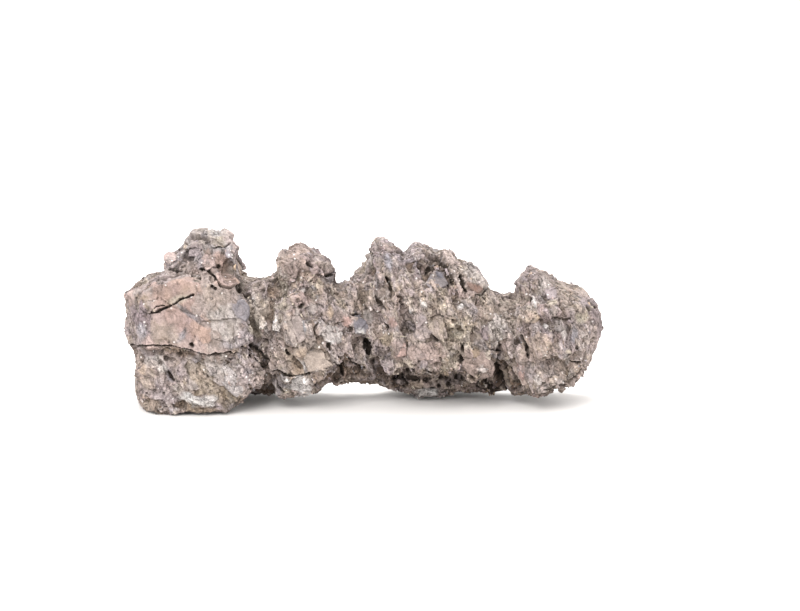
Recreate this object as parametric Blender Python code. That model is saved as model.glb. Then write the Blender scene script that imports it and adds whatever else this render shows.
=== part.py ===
"""Ibigawa stone: one long, natural piece of rough breccia that lies on a flat surface.

The stone is a row of boulders grown together. A broad block stands at the -X end with a knob on its
back, two jagged towers follow, and a round lobe closes the +X end. It rests on the block's underside
and on one foot near the middle, and an arch is left between them.
"""

import math
import random

import bmesh
import bpy
import numpy as np
from mathutils import Euler, Vector

MM = 0.001  # every size below is in millimetres unless its name says otherwise

SEED = 23
VOXEL = 2.2  # fineness at which the boulders and chips are fused
TRIANGLES = 7200  # of the fused stone, before the cracks, pits and rests are cut
FLOOR_SIZE = 600.0
FLOOR_DEPTH = 40.0

STONE_COLOUR = (0.36, 0.31, 0.28, 1.0)
STONE_ROUGHNESS = 0.9

MIDDLE = (2.6, 0.0)  # (x, y) of the finished stone's middle, as the sizes below count them

RING_ANGLES = (-82, -62, -38, -12, 12, 38, 62, 82)  # degrees, from a boulder's front to its back
BACK_SQUARE = 2.7  # how square every boulder is behind its widest ring

# Each boulder: its outline seen from the front (x, z), the depth y of its widest ring, how far it
# reaches to the front and to the back of that ring, and how square its front is (2 round, 8 like
# a block).
BOULDERS = {
    "block_upper": (
        [(-199, 92), (-194, 99), (-179, 107), (-165, 114), (-147, 116), (-122, 114), (-101, 108),
         (-95, 95), (-91, 72), (-93, 46), (-111, 42), (-136, 44), (-161, 49), (-184, 51),
         (-196, 55), (-198, 67)],
        -2, 56, 52, 5.0,
    ),
    "block_lower": (
        [(-192, 54), (-191, 30), (-189, 13), (-188, 3), (-180, -3), (-160, -4), (-134, -5),
         (-116, -2), (-103, 5), (-92, 13), (-82, 22), (-80, 34), (-94, 48), (-130, 56), (-176, 58)],
        -4, 50, 48, 7.0,
    ),
    "block_knob": (
        [(-165, 108), (-164, 121), (-157, 127), (-149, 132), (-146, 139), (-136, 146), (-128, 148),
         (-121, 145), (-113, 146), (-108, 141), (-109, 132), (-103, 124), (-98, 110), (-92, 99),
         (-98, 88), (-124, 88), (-152, 98)],
        4, 26, 36, 3.4,
    ),
    "saddle": (
        [(-104, 100), (-90, 105), (-79, 106), (-73, 110), (-66, 108), (-62, 87), (-58, 44),
         (-64, 18), (-78, 14), (-96, 20), (-106, 61)],
        5, 36, 38, 3.6,
    ),
    "tower_near_top": (
        [(-70, 117), (-67, 127), (-60, 131), (-50, 136), (-43, 132), (-35, 127), (-26, 121),
         (-21, 109), (-24, 96), (-26, 74), (-52, 70), (-70, 88)],
        2, 32, 34, 3.8,
    ),
    "tower_near_body": (
        [(-78, 98), (-18, 101), (-9, 72), (-12, 40), (-22, 24), (-44, 20), (-63, 22), (-78, 30),
         (-84, 62)],
        0, 44, 44, 4.0,
    ),
    "hanging_clast": (
        [(-75, 30), (-60, 31), (-35, 29), (-23, 26), (-30, 18), (-43, 12), (-52, 7), (-61, 5),
         (-69, 7), (-75, 16)],
        -10, 26, 30, 3.2,
    ),
    "waist": (
        [(-28, 96), (-13, 105), (-9, 115), (-2, 117), (9, 112), (16, 87), (17, 44), (14, 16), (-9, 14),
         (-30, 17), (-32, 52)],
        6, 32, 34, 3.6,
    ),
    "tower_far": (
        [(2, 109), (5, 123), (8, 135), (21, 137), (32, 130), (46, 135), (60, 130), (72, 130),
         (82, 123), (97, 113), (104, 98), (111, 78), (117, 52), (114, 34), (100, 27), (66, 26),
         (32, 30), (13, 33), (2, 46), (0, 78)],
        4, 42, 44, 3.6,
    ),
    "tower_foot": (
        [(8, 34), (36, 40), (75, 38), (108, 32), (114, 14), (104, 6), (94, 3), (81, 3), (66, -3),
         (50, -3), (38, 3), (25, 8), (11, 12)],
        22, 32, 24, 3.4,
    ),
    "neck": (
        [(98, 96), (116, 92), (125, 91), (134, 88), (140, 56), (136, 18), (120, 10), (103, 16), (99, 44)],
        8, 30, 32, 3.2,
    ),
    "lobe": (
        [(128, 92), (136, 101), (159, 105), (186, 96), (196, 85), (202, 66), (200, 51), (196, 36),
         (178, 14), (161, 7), (142, 7), (127, 8), (121, 15), (123, 31), (127, 48), (125, 74)],
        4, 42, 40, 3.6,
    ),
    "lobe_knob": (
        [(129, 92), (132, 104), (138, 111), (143, 113), (154, 109), (160, 102), (159, 90),
         (141, 84)],
        6, 24, 26, 3.2,
    ),
}

# Boulders that carry no lumps or chips: the low belly behind the block's corner and the clast.
PLAIN_BOULDERS = {
    "belly": (
        [(-114, 26), (-100, 32), (-70, 32), (-50, 24), (-52, 12), (-62, 6), (-82, 4), (-106, 2)],
        14, 20, 28, 3.0,
    ),
}

# Flat broken faces: (x, y, z) on the face and its outward normal. What lies beyond is pressed back.
FLATS = {
    "block_upper": [((-150, -54, 80), (-0.04, -1.0, 0.16)), ((-190, -34, 72), (-0.86, -0.5, 0.06))],
    "block_lower": [((-140, -50, 30), (0.02, -1.0, 0.0)), ((-186, -30, 30), (-0.86, -0.5, -0.1))],
    "tower_near_body": [((-48, -42, 62), (0.25, -0.95, 0.1))],
    "tower_far": [((56, -42, 66), (0.0, -1.0, 0.12))],
    "lobe": [((160, -40, 56), (0.12, -1.0, 0.1)), ((186, 10, 24), (0.6, 0.0, -0.7))],
}

# Angular blocks that stand proud of the boulders: centre (x, y, z), radii (x, y, z) and the turn
# about Y in degrees. Most lean with the stone's layers, which run down from -X to +X.
PROUD_BLOCKS = [
    # the block and its knob
    (-157, -14, 121, 8, 14, 7, 0), (-148, -10, 126, 8, 12, 8, 10), (-137, -12, 134, 11, 16, 10, 12),
    (-124, -12, 137, 10, 16, 9, 0), (-112, -10, 136, 7, 14, 8, -15), (-103, -14, 122, 10, 18, 20, -25),
    (-122, -32, 108, 15, 14, 13, -30), (-133, -24, 121, 14, 12, 9, 0), (-150, -24, 116, 16, 14, 9, 5),
    (-187, -14, 70, 9, 26, 22, 0), (-178, -22, 20, 11, 24, 18, -5), (-106, -40, 26, 18, 14, 16, -20),
    (-152, -42, 26, 20, 12, 16, 0), (-130, -46, 14, 18, 12, 11, 0), (-174, -42, 38, 13, 12, 10, 0),
    (-98, -44, 76, 12, 14, 26, -15), (-92, -36, 48, 12, 14, 16, -30),
    # the saddle and the nearer tower
    (-86, -20, 98, 11, 12, 9, 0), (-76, -24, 96, 6, 16, 20, -8), (-80, -28, 70, 7, 14, 26, -10),
    (-70, -30, 48, 8, 14, 24, -18), (-59, -24, 117, 11, 14, 13, 0), (-47, -22, 122, 9, 14, 11, 10),
    (-34, -22, 115, 10, 14, 9, 10), (-27, -16, 105, 7, 16, 9, -10), (-52, -40, 92, 16, 10, 16, -20),
    (-54, -44, 62, 8, 10, 26, -24), (-38, -44, 66, 12, 10, 22, -24), (-60, -38, 38, 12, 14, 18, -28),
    (-37, -44, 34, 15, 12, 12, -15), (-24, -38, 52, 10, 12, 18, -20), (-62, -22, 16, 11, 18, 11, 0),
    (-46, -20, 18, 14, 16, 9, -10),
    # the waist
    (-4, -20, 99, 8, 16, 16, -10), (-14, -24, 84, 9, 14, 18, -18), (-2, -28, 70, 13, 12, 13, 0),
    (-12, -26, 50, 11, 14, 18, -15), (-16, -14, 26, 12, 18, 11, 0), (0, -18, 38, 8, 14, 14, -15),
    # the further tower
    (11, -20, 120, 5, 16, 17, -6), (20, -26, 118, 6, 14, 19, -6), (29, -24, 114, 7, 16, 18, -12),
    (46, -20, 122, 12, 18, 11, 5), (62, -24, 114, 8, 16, 17, -26), (74, -26, 110, 9, 14, 17, -34),
    (87, -22, 101, 9, 16, 17, -38), (98, -18, 92, 8, 14, 11, -30), (10, -30, 92, 8, 14, 22, -10),
    (24, -36, 88, 8, 12, 24, -14), (38, -38, 98, 9, 12, 24, -24), (56, -40, 100, 14, 10, 15, -20),
    (70, -40, 84, 11, 12, 22, -26), (88, -36, 80, 10, 14, 22, -26), (52, -44, 78, 10, 10, 20, -24),
    (30, -42, 58, 9, 12, 26, -8), (48, -47, 50, 13, 10, 24, -4), (66, -46, 56, 10, 12, 24, -14),
    (84, -42, 54, 11, 12, 20, -20), (102, -34, 56, 9, 14, 22, -20), (94, -34, 36, 16, 16, 11, -8),
    (54, -44, 37, 20, 12, 7, 0), (26, -36, 39, 13, 14, 9, 0), (8, -28, 62, 7, 12, 24, -14),
    (76, -40, 40, 12, 12, 9, 0),
    # the foot, the neck and the lobe
    (56, 10, 10, 18, 14, 9, 0), (86, 8, 12, 16, 16, 8, 0), (30, 6, 17, 14, 16, 8, 0),
    (106, 2, 15, 9, 16, 9, 0), (110, -20, 80, 9, 14, 18, -20), (120, -24, 60, 8, 14, 24, -18),
    (132, -28, 40, 6, 14, 22, -10), (130, -8, 20, 7, 18, 14, -12), (133, -16, 101, 8, 16, 11, 0),
    (145, -16, 104, 9, 14, 7, 10), (138, -32, 82, 10, 14, 16, -14), (156, -36, 88, 15, 12, 12, -20),
    (177, -24, 86, 12, 18, 9, 22), (187, -18, 64, 8, 20, 18, -5), (148, -42, 58, 11, 10, 20, -14),
    (170, -40, 58, 14, 12, 18, -10), (143, -36, 28, 11, 14, 20, -8), (162, -36, 24, 15, 16, 15, 10),
    (176, -22, 36, 11, 18, 14, 30),
]
PROUD_BLOCK_CUTS = 12

# Pieces broken off once the boulders are fused, given as the proud blocks are. They run from the
# front to the back of the stone and fall towards the back by so many degrees.
BROKEN_OFF = [
    (-84, 0, 125, 14, 100, 21, -21),  # the knob's flank
    (-14, 0, 119, 10, 100, 12, 0),  # the further tower's shoulder
    (134, 0, 116, 6, 100, 7, 0),  # the lobe's shoulder
]
BREAK_FALL = 11.0

# Angular lumps scattered over the back, and smaller chips over the whole stone, each with its own
# turn.
LUMPS = 84
LUMP_RADII = (11.0, 23.0)
LUMP_SUNK = 0.34
LUMP_CUTS = 7
CHIPS = 190
CHIP_RADII = (4.5, 10.0)
CHIP_FLATTEN = (0.55, 1.0)
CHIP_SUNK = 0.56  # share of a chip's radius by which its centre lies under the surface
CHIP_CUTS = 11

# Cracks and deep clefts, each a run of (x, z, half width) seen from the front, with the depths y
# between which it is open.
CRACKS = {
    "slit_in_face": ([(-171, 78, 0.6), (-162, 82, 1.7), (-152, 86, 1.1), (-143, 91, 1.0),
                      (-134, 97, 0.4)], -80, -36),
    "ledge": ([(-200, 50, 1.6), (-186, 49, 2.2), (-172, 50, 1.2), (-155, 48, 2.2), (-140, 45, 1.6),
               (-126, 42.5, 1.2), (-112, 41, 2.6), (-102, 42, 1.2), (-96, 40, 0.5)], -80, -34),
    "ledge_deep": ([(-164, 50, 0.6), (-155, 48, 1.6), (-146, 46.5, 0.6)], -80, -22),
    "bite": ([(-152, 0, 0.8), (-146, 1, 4.0), (-132, 0, 7.0), (-114, 0, 8.0), (-100, 0, 9.0)],
             -80, -36),
    "under_tongue": ([(-134, 114, 0.6), (-124, 111, 2.2), (-115, 105, 2.0), (-108, 99, 1.6),
                      (-96, 101, 0.8)], -80, -26),
    "knob_seam": ([(-150, 128, 0.5), (-138, 131, 1.0), (-128, 131, 0.5)], -80, -10),
    "knob_cleft": ([(-104, 116, 0.8), (-100, 109, 2.2), (-96, 98, 2.0), (-93, 90, 0.8)],
                   -80, -18),
    "saddle_cleft": ([(-91, 52, 1.0), (-86, 45, 3.4), (-80, 37, 3.0), (-75, 33, 0.8)], -80, -14),
    "hanging_seam": ([(-84, 34, 0.5), (-72, 29, 1.4), (-60, 24.5, 1.4), (-44, 22.5, 1.6),
                      (-34, 22, 0.6)], -80, -20),
    "tower_near_slit": ([(-34, 109, 0.4), (-27, 112, 1.3), (-17, 113.5, 1.6)], -80, -6),
    "waist_cleft": ([(0, 52, 1.0), (4, 44, 4.0), (9, 34, 4.0), (14, 22, 4.0), (18, 8, 4.0)], -80, -12),
    "tower_far_hole": ([(80, 50, 1.4), (82, 46, 2.6), (84, 42, 1.2)], -80, -22),
    "tower_far_groove": ([(78, 112, 0.6), (84, 102, 2.2), (86, 92, 2.0), (90, 82, 0.7)], -80, -18),
    "neck_cleft": ([(112, 40, 1.2), (115, 30, 5.0), (119, 19, 5.2), (125, 8, 4.0), (128, 0, 3.0)],
                   -80, 4),
    "lobe_slit": ([(132, 58, 0.4), (135, 51, 1.3), (137, 44, 1.4), (137, 39, 0.4)], -80, -18),
}

# Pits: centre (x, y, z) and radius. Each is an angular hollow.
PITS = [
    (-136, -54, 52, 3.2), (-96, -42, 58, 2.6), (-47, -38, 116, 4.2), (-52, -46, 80, 3.2),
    (-66, -42, 78, 2.6), (-38, -48, 52, 3.0), (-28, -44, 42, 3.4), (-10, -34, 70, 2.8),
    (14, -40, 80, 5.0), (22, -42, 74, 4.0), (4, -30, 105, 3.0), (42, -40, 112, 4.0),
    (52, -46, 108, 4.4), (58, -50, 54, 3.4), (94, -40, 80, 3.6), (76, -46, 78, 3.0),
    (20, -46, 56, 3.6), (40, -46, 26, 4.0), (66, -44, 26, 4.4), (88, -40, 24, 4.0),
    (132, -34, 76, 3.4), (152, -42, 74, 3.6), (170, -44, 74, 4.0), (144, -46, 36, 3.4),
    (184, -36, 32, 3.4), (168, -42, 20, 4.0), (-14, -26, 18, 5.0), (-20, -28, 30, 4.4),
    (-150, 52, 80, 5.0), (-120, 48, 34, 5.0), (-60, 42, 100, 4.6), (-30, 44, 50, 5.0),
    (20, 46, 96, 5.0), (60, 48, 66, 5.4), (92, 44, 40, 4.6), (150, 44, 70, 5.0),
    (176, 38, 40, 4.4), (-90, 40, 76, 4.4),
]
PIT_OPENING = 24.0  # how far its mouth is drawn out


def join_rings(bm, rings):
    """Joins rings of points, all with the same count, into one closed shell with flat ends."""
    layers = [[bm.verts.new(point) for point in ring] for ring in rings]
    for near, far in zip(layers, layers[1:]):
        count = len(near)
        for i in range(count):
            j = (i + 1) % count
            bm.faces.new((near[i], near[j], far[j], far[i]))
    bm.faces.new(layers[0][::-1])
    bm.faces.new(layers[-1])


def add_boulder(bm, flats, outline, rim, front, back, square):
    """A boulder: its outline is repeated at rings along Y, and shrinks as a superellipse does."""
    points = np.array(outline, float)
    heart = points.mean(axis=0)
    rings = []
    for angle in RING_ANGLES:
        turn = math.radians(angle)
        reach = front if angle < 0 else back
        power = 2 / (square if angle < 0 else BACK_SQUARE)
        depth = rim + math.copysign(reach * abs(math.sin(turn)) ** power, turn)
        ring = heart + (points - heart) * math.cos(turn) ** power
        rings.append(np.insert(ring, 1, depth, axis=1))
    rings = np.array(rings)
    for point, normal in flats:
        outward = np.array(normal) / np.linalg.norm(normal)
        beyond = np.maximum((rings - point) @ outward, 0.0)
        rings -= beyond[..., None] * outward
    join_rings(bm, rings * MM)


def angular_block(rng, centre, radii, turn, cuts):
    """A broken block as (points, faces): the hull left when flat cuts trim an ellipsoid.

    Six cuts face about along its own axes, which makes it blocky, and the others face anywhere.

    Along a direction d the surface lies at the least h / (d . n) over the cuts' normals n and
    their distances h from the middle, and at 1 where no cut is nearer.
    """
    ball = bmesh.new()
    bmesh.ops.create_icosphere(ball, subdivisions=3, radius=1.0)
    directions = np.array([vertex.co for vertex in ball.verts])
    faces = [[vertex.index for vertex in face.verts] for face in ball.faces]
    ball.free()
    box = np.concatenate([np.eye(3), -np.eye(3)]) + rng.normal(scale=0.16, size=(6, 3))
    normals = np.concatenate([box, rng.normal(size=(cuts, 3))])
    normals /= np.linalg.norm(normals, axis=1)[:, None]
    heights = np.concatenate([rng.uniform(0.55, 0.8, 6), rng.uniform(0.68, 0.9, cuts)])
    along = np.maximum(directions @ normals.T, 1e-6)
    reach = np.minimum((heights / along).min(axis=1), 1.0)
    points = directions * reach[:, None] * np.array(radii)
    spun = points @ np.array(Euler(turn).to_matrix()).T
    return spun + np.array(centre), faces


def add_block(bm, points, faces):
    verts = [bm.verts.new(point) for point in points * MM]
    for face in faces:
        bm.faces.new([verts[i] for i in face])


def add_chips(bm, rng, shell, count, radii, sunk, cuts, facing):
    """Adds blocks at random places of the shell whose normal has at least the Y given.

    Larger faces get more of them.
    """
    areas = np.array([face.area * (face.normal.y >= facing) for face in shell.polygons])
    for i in rng.choice(len(areas), size=count, p=areas / areas.sum()):
        face = shell.polygons[i]
        radius = rng.uniform(*radii)
        spread = radius * rng.uniform(*CHIP_FLATTEN, size=3)
        centre = np.array(face.center) / MM - np.array(face.normal) * radius * sunk
        turn = tuple(rng.uniform(-math.pi, math.pi, 3))
        add_block(bm, *angular_block(rng, centre, spread, turn, cuts))


def mesh_from(bm, name, middle=(0.0, 0.0)):
    """A mesh of triangles that face outwards, moved so that the middle given is the origin."""
    bmesh.ops.triangulate(bm, faces=bm.faces[:])
    bmesh.ops.recalc_face_normals(bm, faces=bm.faces[:])
    bmesh.ops.translate(bm, vec=(-middle[0] * MM, -middle[1] * MM, 0.0), verts=bm.verts)
    mesh = bpy.data.meshes.new(name)
    bm.to_mesh(mesh)
    bm.free()
    return mesh


def build_rough_mesh(rng):
    """Boulders, proud blocks and chips as overlapping shells in one mesh, not yet fused."""
    bm = bmesh.new()
    for name, boulder in BOULDERS.items():
        add_boulder(bm, FLATS.get(name, ()), *boulder)
    shell = mesh_from(bm.copy(), "boulder_shell")
    for boulder in PLAIN_BOULDERS.values():
        add_boulder(bm, (), *boulder)
    for x, y, z, rx, ry, rz, lean in PROUD_BLOCKS:
        turn = (rng.uniform(-0.25, 0.25), math.radians(lean), rng.uniform(-0.3, 0.3))
        add_block(bm, *angular_block(rng, (x, y, z), (rx, ry, rz), turn, PROUD_BLOCK_CUTS))
    add_chips(bm, rng, shell, LUMPS, LUMP_RADII, LUMP_SUNK, LUMP_CUTS, 0.4)
    add_chips(bm, rng, shell, CHIPS, CHIP_RADII, CHIP_SUNK, CHIP_CUTS, -1.0)
    bpy.data.meshes.remove(shell)
    return mesh_from(bm, "stone", MIDDLE)


def add_roughness(stone, name, kind, grain, strength):
    """Pushes the surface in and out by a solid noise whose grain is the size given."""
    texture = bpy.data.textures.new(name, kind)
    texture.noise_scale = grain * MM
    push = stone.modifiers.new(name, "DISPLACE")
    push.texture = texture
    push.texture_coords = "LOCAL"
    push.mid_level = 0.5
    push.strength = strength * MM


def helper(name, mesh, collection):
    """A cutter: an object that is kept out of the render."""
    cutter = bpy.data.objects.new(name, mesh)
    cutter.hide_render = True
    cutter.display_type = "WIRE"
    collection.objects.link(cutter)
    return cutter


def crack_mesh(name, run, near, far):
    """A crack's cutter: a band along the run, its width up and down, carried from near to far.

    A run that is more steep than flat takes its width sideways. The crack narrows to a fifth of its
    width at its far end.
    """
    rise = abs(run[-1][1] - run[0][1])
    across = (1, 0) if rise > abs(run[-1][0] - run[0][0]) else (0, 1)
    bm = bmesh.new()
    sections = []
    for x, z, half in run:
        corners = []
        for side, y, share in ((-1, near, 1.0), (1, near, 1.0), (1, far, 0.2), (-1, far, 0.2)):
            offset = side * half * share
            point = (x + offset * across[0], y, z + offset * across[1])
            corners.append(bm.verts.new(Vector(point) * MM))
        sections.append(corners)
    for here, there in zip(sections, sections[1:]):
        for i in range(4):
            j = (i + 1) % 4
            bm.faces.new((here[i], here[j], there[j], there[i]))
    bm.faces.new(sections[0][::-1])
    bm.faces.new(sections[-1])
    return mesh_from(bm, name, MIDDLE)


def pit_mesh(rng, name, centre, radius):
    """An angular pit's cutter: its outer side is drawn away from the stone, so the pit is open."""
    bm = bmesh.new()
    bmesh.ops.create_icosphere(bm, subdivisions=1, radius=radius * MM)
    outward = math.copysign(PIT_OPENING * MM, centre[1])
    for vertex in bm.verts:
        mouth = max(0.0, vertex.co.y / outward)
        vertex.co *= rng.uniform(0.75, 1.15)
        vertex.co.y += outward * min(1.0, mouth * PIT_OPENING / radius)
        vertex.co += Vector(centre) * MM
    return mesh_from(bm, name, MIDDLE)


def broken_off_mesh(rng, name, place):
    """The cutter for a piece that is broken off."""
    x, y, z, rx, ry, rz, lean = place
    turn = (-math.radians(BREAK_FALL), math.radians(lean), 0.0)
    bm = bmesh.new()
    add_block(bm, *angular_block(rng, (x, y, z), (rx, ry, rz), turn, PROUD_BLOCK_CUTS))
    return mesh_from(bm, name, MIDDLE)


def floor_mesh():
    """The space under the surface that the stone lies on: it wears the rests flat."""
    bm = bmesh.new()
    bmesh.ops.create_cube(bm, size=1.0)
    bmesh.ops.scale(bm, vec=(FLOOR_SIZE * MM, FLOOR_SIZE * MM, FLOOR_DEPTH * MM), verts=bm.verts)
    bmesh.ops.translate(bm, vec=(0, 0, -FLOOR_DEPTH * MM / 2), verts=bm.verts)
    return mesh_from(bm, "floor_cut")


def stone_material():
    material = bpy.data.materials.new("stone")
    material.use_nodes = True
    shader = material.node_tree.nodes["Principled BSDF"]
    shader.inputs["Base Color"].default_value = STONE_COLOUR
    shader.inputs["Roughness"].default_value = STONE_ROUGHNESS
    shader.inputs["Metallic"].default_value = 0.0
    return material


def build_stone():
    rng = np.random.default_rng(SEED)
    stone = bpy.data.objects.new("stone", build_rough_mesh(rng))
    bpy.context.scene.collection.objects.link(stone)
    stone.data.materials.append(stone_material())

    fuse = stone.modifiers.new("fuse", "REMESH")
    fuse.mode = "VOXEL"
    fuse.voxel_size = VOXEL * MM
    add_roughness(stone, "lumps", "CLOUDS", 16.0, 5.0)
    add_roughness(stone, "grit", "CLOUDS", 6.0, 2.6)

    graph = bpy.context.evaluated_depsgraph_get()
    fused = len(stone.evaluated_get(graph).data.loop_triangles)
    thin = stone.modifiers.new("thin_out", "DECIMATE")
    thin.ratio = TRIANGLES / fused

    cutters = bpy.data.collections.new("cutters")
    bpy.context.scene.collection.children.link(cutters)
    for name, (run, near, far) in CRACKS.items():
        helper(name, crack_mesh(name, run, near, far), cutters)
    for number, (x, y, z, radius) in enumerate(PITS, 1):
        name = f"pit_{number:02d}"
        helper(name, pit_mesh(rng, name, (x, y, z), radius), cutters)
    for number, place in enumerate(BROKEN_OFF, 1):
        name = f"broken_off_{number}"
        helper(name, broken_off_mesh(rng, name, place), cutters)
    open_up = stone.modifiers.new("cracks_and_pits", "BOOLEAN")
    open_up.operation = "DIFFERENCE"
    open_up.operand_type = "COLLECTION"
    open_up.collection = cutters

    rests = stone.modifiers.new("rests", "BOOLEAN")
    rests.operation = "DIFFERENCE"
    rests.object = helper("floor_cut", floor_mesh(), bpy.context.scene.collection)
    return stone


def main():
    for obj in list(bpy.data.objects):
        bpy.data.objects.remove(obj)
    build_stone()


main()
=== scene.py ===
"""The looks of an ibigawa stone: a long piece of rough breccia that lies on a pale floor.

The stone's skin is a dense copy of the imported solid's surface. Broken chips, ribs, pits and cracks
are heights over it, worked out as whole numpy arrays. Single clasts, splinters and grit are set
into that skin. Sizes are in metres, apart from places on the front, which are in millimetres.
"""

import math

import bmesh
import bpy
import numpy as np
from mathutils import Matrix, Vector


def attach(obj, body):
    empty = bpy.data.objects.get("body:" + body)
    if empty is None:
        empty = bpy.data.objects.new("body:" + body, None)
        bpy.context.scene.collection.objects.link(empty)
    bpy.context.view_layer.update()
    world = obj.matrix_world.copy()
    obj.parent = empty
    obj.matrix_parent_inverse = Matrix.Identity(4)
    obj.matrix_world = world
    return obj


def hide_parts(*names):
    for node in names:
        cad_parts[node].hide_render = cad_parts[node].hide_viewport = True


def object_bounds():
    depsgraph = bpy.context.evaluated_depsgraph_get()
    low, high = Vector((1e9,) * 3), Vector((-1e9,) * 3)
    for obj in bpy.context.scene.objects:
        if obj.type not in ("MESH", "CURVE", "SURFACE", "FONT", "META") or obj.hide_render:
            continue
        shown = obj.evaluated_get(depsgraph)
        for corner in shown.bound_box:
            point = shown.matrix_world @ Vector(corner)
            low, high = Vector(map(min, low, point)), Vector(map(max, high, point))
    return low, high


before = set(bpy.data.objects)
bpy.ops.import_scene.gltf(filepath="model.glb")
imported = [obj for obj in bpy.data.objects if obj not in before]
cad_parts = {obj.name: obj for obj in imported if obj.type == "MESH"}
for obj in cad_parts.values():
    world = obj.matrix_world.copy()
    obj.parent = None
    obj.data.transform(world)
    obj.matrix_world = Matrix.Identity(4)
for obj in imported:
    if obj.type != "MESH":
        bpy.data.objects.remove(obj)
CAD_BOX = [list(corner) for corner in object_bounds()]

MM = 0.001
SEED = 61

# The view from the front: what the camera looks at, how steeply it looks down, and from how far.
LOOK_AT = np.array([0.0293, 0.0, 0.0829])
CAMERA_RISE = math.radians(11.0)
CAMERA_DISTANCE = 1.3977
CAMERA_LENS_MM = 75.0
CAMERA_SENSOR_MM = 36.0
VIEW_RIGHT = np.array([1.0, 0.0, 0.0])
VIEW_UP = np.array([0.0, math.sin(CAMERA_RISE), math.cos(CAMERA_RISE)])
VIEW_AWAY = np.array([0.0, math.cos(CAMERA_RISE), -math.sin(CAMERA_RISE)])

# ---------------------------------------------------------------- numbers that repeat on every run

# Large odd numbers that stir a cube's place and a seed into random bits.
PLACE_KEYS = (73856093, 19349663, 83492791)
SEED_KEY = 2654435761
ROUND_KEY = 0x9E3779B97F4A7C15
STIR_KEYS = (0xBF58476D1CE4E5B9, 0x94D049BB133111EB)
ALL_BITS = 0xFFFFFFFFFFFFFFFF


def cell_random(cells, seed, count):
    """Gives every cube of space, named by three whole numbers, its own random numbers in 0..1.

    The three numbers are multiplied by large odd constants, joined by exclusive or, and stirred
    by shifts and multiplications, once for each of the `count` numbers wanted.
    """
    x, y, z = (cells[:, i].astype(np.int64) * PLACE_KEYS[i] for i in range(3))
    key = (x ^ y ^ z ^ (seed * SEED_KEY)).astype(np.uint64)
    out = np.empty((len(key), count))
    for k in range(count):
        v = key + np.uint64((ROUND_KEY * (k + 1)) & ALL_BITS)
        v = (v ^ (v >> np.uint64(30))) * np.uint64(STIR_KEYS[0])
        v = (v ^ (v >> np.uint64(27))) * np.uint64(STIR_KEYS[1])
        v ^= v >> np.uint64(31)
        out[:, k] = (v >> np.uint64(11)).astype(np.float64) / 2.0**53
    return out


def smooth_step(x, low, high):
    """0 below low, 1 above high, and 3t² - 2t³ between them."""
    t = np.clip((x - low) / (high - low), 0.0, 1.0)
    return t * t * (3.0 - 2.0 * t)


def soft_noise(points, size, seed):
    """Smooth random heights from -1 to 1 that change over about `size`.

    Every corner of a grid of cubes has a random height, and a point takes the mix of its cube's
    eight corners, weighted along each side by 3t² - 2t³.
    """
    p = points / size
    base = np.floor(p)
    t = smooth_step(p - base, 0.0, 1.0)
    total = np.zeros(len(p))
    for corner in np.ndindex(2, 2, 2):
        weight = np.prod(np.where(np.array(corner) == 1, t, 1.0 - t), axis=1)
        total += weight * cell_random(base + corner, seed, 1)[:, 0]
    return total * 2.0 - 1.0


def layered_noise(points, size, seed):
    """Three layers of soft noise, each half the size and half the height of the one before, and
    their sum divided by 1.5."""
    total = np.zeros(len(points))
    for k in range(3):
        total += soft_noise(points, size / 2**k, seed + 101 * k) / 2**k
    return total / 1.5


def grains(points, size, seed):
    """The grains of a broken, cellular pattern whose cells are about `size` across.

    Every cube of a grid holds one centre at a random place, a tenth of a side or more from its
    walls, and a point belongs to the nearest one. Gives the cell's name, the way from its centre
    in cell sizes, the distance to it, and how much further off the second nearest centre is.
    """
    p = points / size
    base = np.floor(p)
    first = np.full(len(p), 1e9)
    second = np.full(len(p), 1e9)
    home = np.zeros_like(p)
    way = np.zeros_like(p)
    for corner in np.ndindex(3, 3, 3):
        cell = base + np.array(corner) - 1
        offset = p - cell - 0.1 - 0.8 * cell_random(cell, seed, 3)
        distance = np.sqrt((offset**2).sum(axis=1))
        nearer = distance < first
        second = np.where(nearer, first, np.minimum(second, distance))
        first = np.where(nearer, distance, first)
        home[nearer] = cell[nearer]
        way[nearer] = offset[nearer]
    return home, way, first, second - first


def turned(points, lean, stretch):
    """Points seen along the stone's layers: turned about Y by `lean` degrees, and drawn together
    along the layers by `stretch`, so that a pattern made there comes out long."""
    a = math.radians(lean)
    x = points[:, 0] * math.cos(a) + points[:, 2] * math.sin(a)
    z = -points[:, 0] * math.sin(a) + points[:, 2] * math.cos(a)
    return np.stack([x, points[:, 1], z / stretch], axis=1)


# ---------------------------------------------------------------- the front as it is looked at


def on_front(points):
    """Where points stand on the sheet through LOOK_AT that faces the camera.

    The first number is X on that sheet, and the second runs up it and is Z at LOOK_AT, both in
    millimetres. Points behind the sheet are drawn towards LOOK_AT by d / (d + a), where d is the
    camera's distance and a is how far behind they lie.
    """
    rel = points - LOOK_AT
    scale = CAMERA_DISTANCE / (CAMERA_DISTANCE + rel @ VIEW_AWAY) / MM
    across = (rel @ VIEW_RIGHT) * scale + LOOK_AT[0] / MM
    up = (rel @ VIEW_UP) * scale + LOOK_AT[2] / MM
    return across, up


def from_front(across, up, away):
    """The points in space that show at these places on the sheet, from this far behind it."""
    scale = CAMERA_DISTANCE / (CAMERA_DISTANCE + away) / MM
    right = ((across - LOOK_AT[0] / MM) / scale)[..., None] * VIEW_RIGHT
    above = ((up - LOOK_AT[2] / MM) / scale)[..., None] * VIEW_UP
    return LOOK_AT + right + above + away[..., None] * VIEW_AWAY


# A patch's sides, how far each may lie out, and how far the patch is looked for.
PATCH_SIDES = 6
PATCH_REACH = (0.86, 1.1)
PATCH_SEARCH = 1.7
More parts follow.
